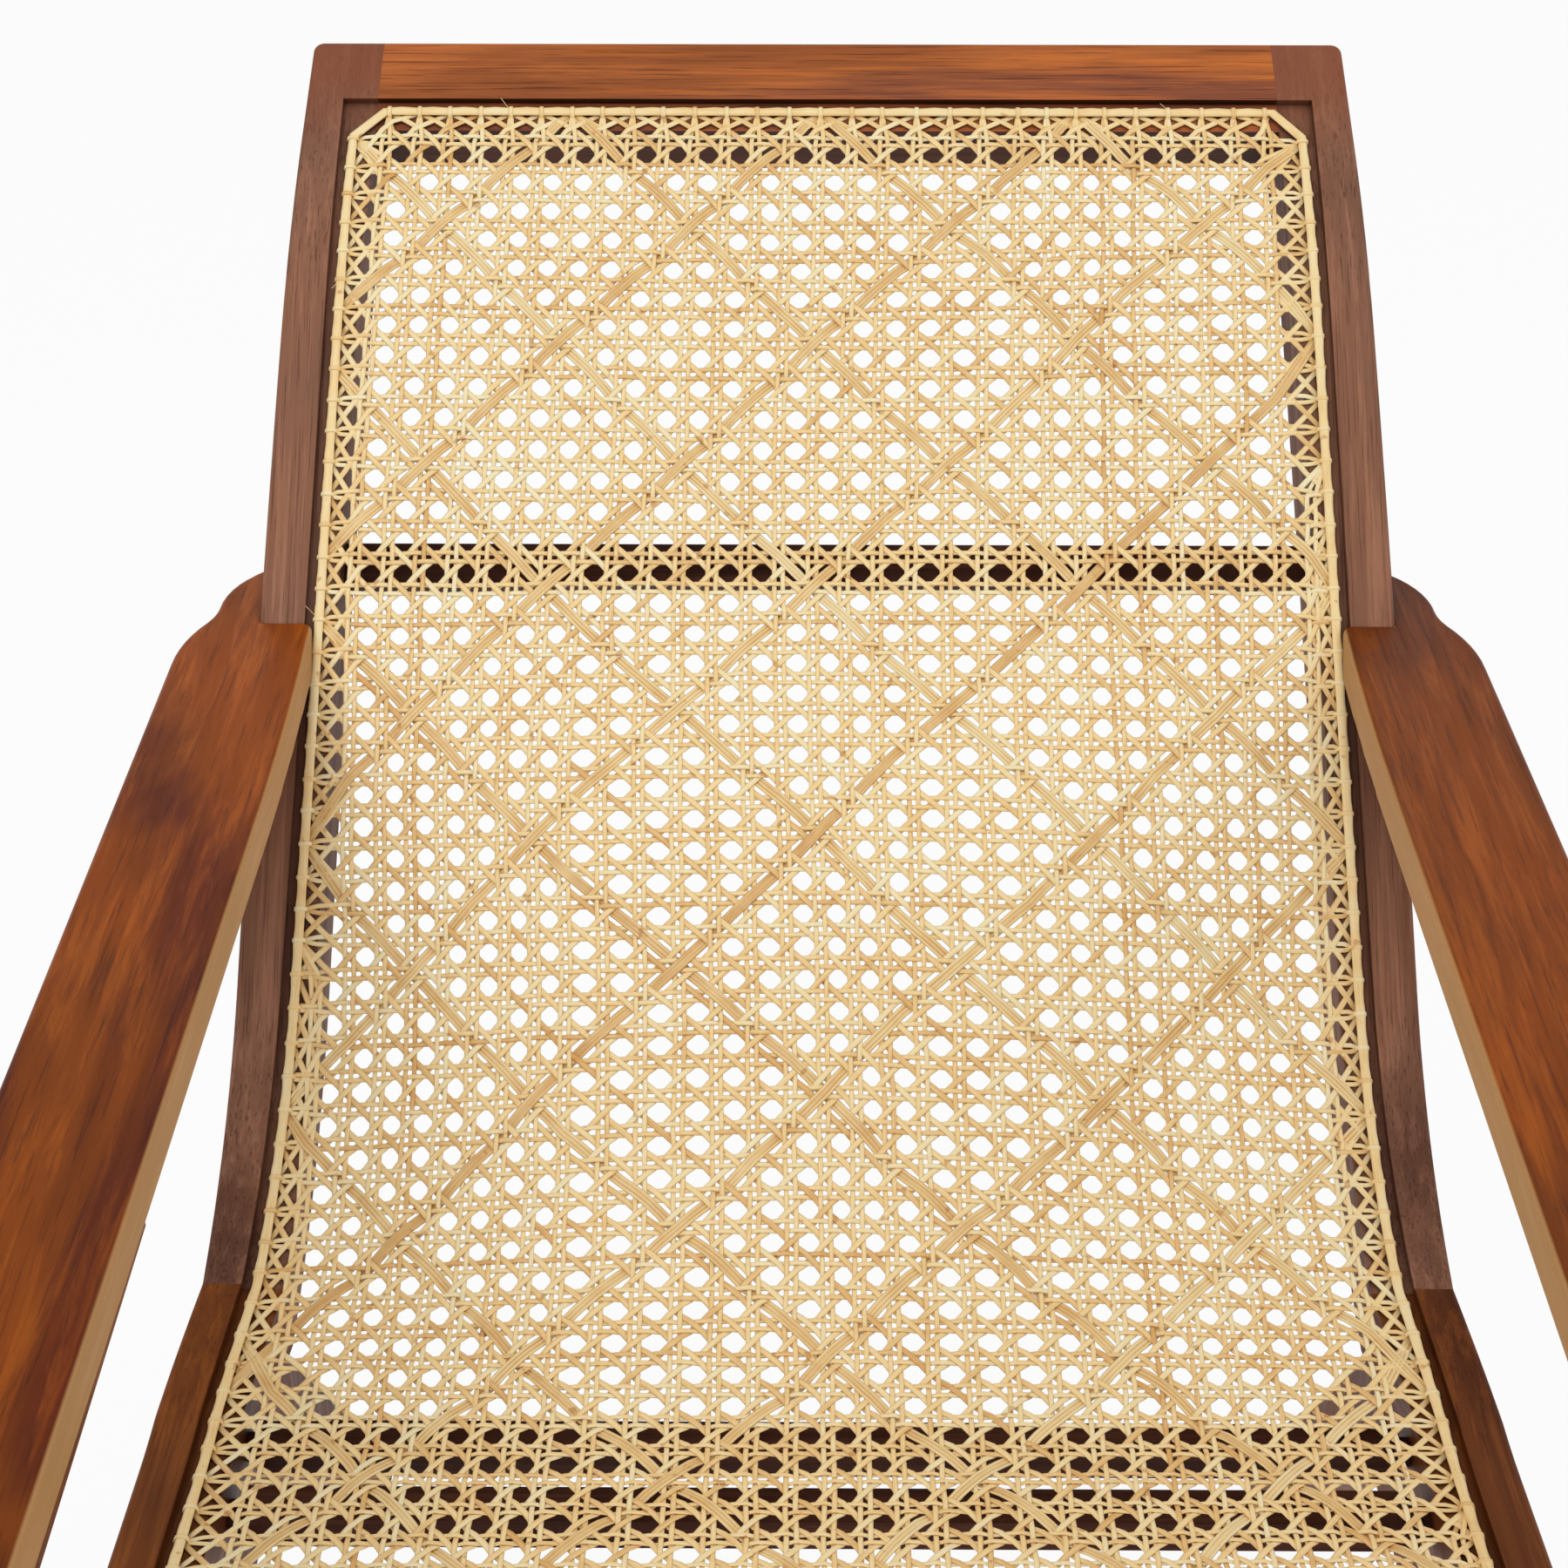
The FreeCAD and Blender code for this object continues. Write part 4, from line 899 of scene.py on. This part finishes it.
class CHAIR_OT_bind_cane(bpy.types.Operator):
    """Lays the binder over the holes, with its loops and a few loose fibres"""
    bl_idname = "chair.bind_cane"
    bl_label = "Bind the cane"

    def execute(self, context):
        sizes = context.scene.chair_cane
        rng = np.random.default_rng(5)
        x, s = border_line()
        distance = np.concatenate([[0], np.cumsum(np.hypot(np.diff(x), np.diff(s)))])
        wave = np.cos(2 * np.pi * distance / PITCH)
        height = 0.0003 * (1 - wave)
        widths = 1.0 - 0.06 * wave
        straw = cane_finish("cane_binding", sizes, 0.05)
        binder = carried("cane_binding_strip", [(x, s, height)],
                         domed(sizes.binder_width, sizes.binder_thickness), BINDER_BASE, 9, widths,
                         np.full(len(x), 0.45), closed=True)
        add_cane(binder, straw, "cane_binder")
        across = np.array((-3.2, -3.1, -2.5, -1.3, 0.0, 1.3, 2.5, 3.1, 3.2)) * MM
        height = np.array((0.2, 1.5, 3.0, 3.65, 3.8, 3.65, 3.0, 1.5, 0.2)) * MM
        holes = all_holes()
        loops = [(hx + across * dx, hs + across * dy, height) for hx, hs, dx, dy in holes]
        loop = oval(sizes.loop_width, sizes.loop_thickness)
        add_cane(carried("cane_binding_loops", loops, loop, 0.0, 10), straw)
        picked = holes[rng.choice(len(holes), 14, replace=False), :2]
        ways = np.clip(rng.normal(size=(len(picked), 4)), -1, 1)
        t = np.linspace(0, 1, 6)
        reach, curl = FIBRE_REACH * t, FIBRE_CURL * t * t
        fibres = [(hx + reach * a + curl * b, hs + reach * c + curl * d, FIBRE_FOOT + FIBRE_RISE * t)
                  for (hx, hs), (a, b, c, d) in zip(picked, ways)]
        add_cane(carried("cane_loose_fibres", fibres, oval(0.00028, 0.00018), 0.0, 11), straw)
        return {"FINISHED"}


def plain_grid(name, corner, first, second, material):
    """A flat four-sided stage piece, from one corner and two sides."""
    mesh = bpy.data.meshes.new(name)
    corner, first, second = (np.array(value, float) for value in (corner, first, second))
    mesh.from_pydata([corner, corner + first, corner + first + second, corner + second], [], [(0, 1, 2, 3)])
    mesh.materials.append(material)
    piece = bpy.data.objects.new(name, mesh)
    bpy.context.scene.collection.objects.link(piece)


def mixed_shaders(tree, share, first, second):
    """Two shaders mixed by a source."""
    mix = tree.nodes.new("ShaderNodeMixShader")
    plug(tree, (mix.inputs[0], share), (mix.inputs[1], first.outputs[0]), (mix.inputs[2], second.outputs[0]))
    return mix.outputs[0]


def background_ray(tree):
    """Is the ray from the camera, or one that a mirror or glass sends on."""
    ray = tree.nodes.new("ShaderNodeLightPath")
    straight = computed(tree, "MAXIMUM", ray.outputs["Is Camera Ray"], ray.outputs["Is Transmission Ray"])
    return computed(tree, "MAXIMUM", straight, ray.outputs["Is Glossy Ray"])


def stage_white():
    """White to the camera, with a part of the real shadows left in."""
    material, tree = shader_tree("stage_white")
    lit = shader_node(tree, "ShaderNodeBsdfDiffuse", Color=(0.92, 0.92, 0.92, 1))
    shown = shader_node(tree, "ShaderNodeEmission", Color=(1, 1, 1, 1), Strength=1.0)
    share = computed(tree, "MULTIPLY", background_ray(tree), 0.92)
    surfaced(tree, mixed_shaders(tree, share, lit, shown))
    return material


def soft_light(name, place, size, power, aim):
    """A large square light that looks at a point."""
    lamp = bpy.data.lights.new(name, "AREA")
    lamp.shape, lamp.size, lamp.energy = "SQUARE", size, power
    holder = bpy.data.objects.new(name, lamp)
    bpy.context.scene.collection.objects.link(holder)
    holder.location = place
    way = np.array(aim, float) - np.array(place, float)
    flat = math.hypot(way[0], way[1])
    holder.rotation_euler = (math.atan2(flat, -way[2]), 0.0, math.atan2(-way[0], way[1]))


class CHAIR_OT_set_stage(bpy.types.Operator):
    """Sets the white floor, the lights and the camera"""
    bl_idname = "chair.set_stage"
    bl_label = "Set the stage"

    def execute(self, context):
        studio, scene = context.scene.chair_studio, context.scene
        white = stage_white()
        plain_grid("stage_floor", (-6, -6, 0), (12, 0, 0), (0, 12, 0), white)
        plain_grid("stage_backdrop", (-6, 6, 0), (12, 0, 0), (0, 0, 8), white)
        world = bpy.data.worlds.new("studio_room")
        world.use_nodes = True
        tree = world.node_tree
        tree.nodes.clear()
        room = shader_node(tree, "ShaderNodeBackground", Color=(1, 1, 1, 1), Strength=studio.surround)
        seen = shader_node(tree, "ShaderNodeBackground", Color=(1, 1, 1, 1), Strength=1.0)
        ray = tree.nodes.new("ShaderNodeLightPath")
        shown = mixed_shaders(tree, ray.outputs["Is Camera Ray"], room, seen)
        tree.links.new(shown, shader_node(tree, "ShaderNodeOutputWorld").inputs["Surface"])
        scene.world = world
        soft_light("light_front", (-0.8, -1.3, 2.9), 2.2, studio.key, (0, 0.1, 0.45))
        soft_light("light_right", (2.4, 0.2, 1.9), 1.6, studio.fill, (0, 0.1, 0.5))
        camera = bpy.data.cameras.new("photo_camera")
        camera.lens, camera.sensor_width = CAMERA_LENS, CAMERA_SENSOR
        holder = bpy.data.objects.new("photo_camera", camera)
        scene.collection.objects.link(holder)
        holder.location = CAMERA_PLACE
        holder.rotation_euler = (math.pi / 2 - CAMERA_DOWN, 0.0, CAMERA_ASIDE)
        scene.camera = holder
        scene.view_settings.view_transform = "Standard"
        return {"FINISHED"}


class CHAIR_PT_panel(bpy.types.Panel):
    """The chair's colours, sizes and steps"""
    bl_idname = "CHAIR_PT_panel"
    bl_label = "Planters chair"
    bl_space_type = "VIEW_3D"
    bl_region_type = "UI"
    bl_category = "Chair"

    def draw(self, context):
        for group in (context.scene.chair_cane, context.scene.chair_wood, context.scene.chair_studio):
            box = self.layout.box()
            for key in group.__annotations__:
                box.prop(group, key)
        for step in STEPS:
            self.layout.operator(step.bl_idname)


STEPS = (CHAIR_OT_set_stage, CHAIR_OT_finish_back, CHAIR_OT_finish_seat, CHAIR_OT_finish_arms,
         CHAIR_OT_finish_fittings, CHAIR_OT_weave_cane, CHAIR_OT_bind_cane)
GROUPS = {"chair_cane": CHAIR_PG_cane, "chair_wood": CHAIR_PG_wood, "chair_studio": CHAIR_PG_studio}


def register():
    for group in (*GROUPS.values(), *STEPS, CHAIR_PT_panel):
        bpy.utils.register_class(group)
    for name, group in GROUPS.items():
        setattr(bpy.types.Scene, name, bpy.props.PointerProperty(type=group))


def unregister():
    for name in GROUPS:
        delattr(bpy.types.Scene, name)
    for group in (CHAIR_PT_panel, *reversed(STEPS), *GROUPS.values()):
        bpy.utils.unregister_class(group)


def main():
    register()
    bpy.ops.chair.set_stage()
    bpy.ops.chair.finish_back()
    bpy.ops.chair.finish_seat()
    bpy.ops.chair.finish_arms()
    bpy.ops.chair.finish_fittings()
    bpy.ops.chair.weave_cane()
    bpy.ops.chair.bind_cane()


if __name__ == "__main__":
    main()
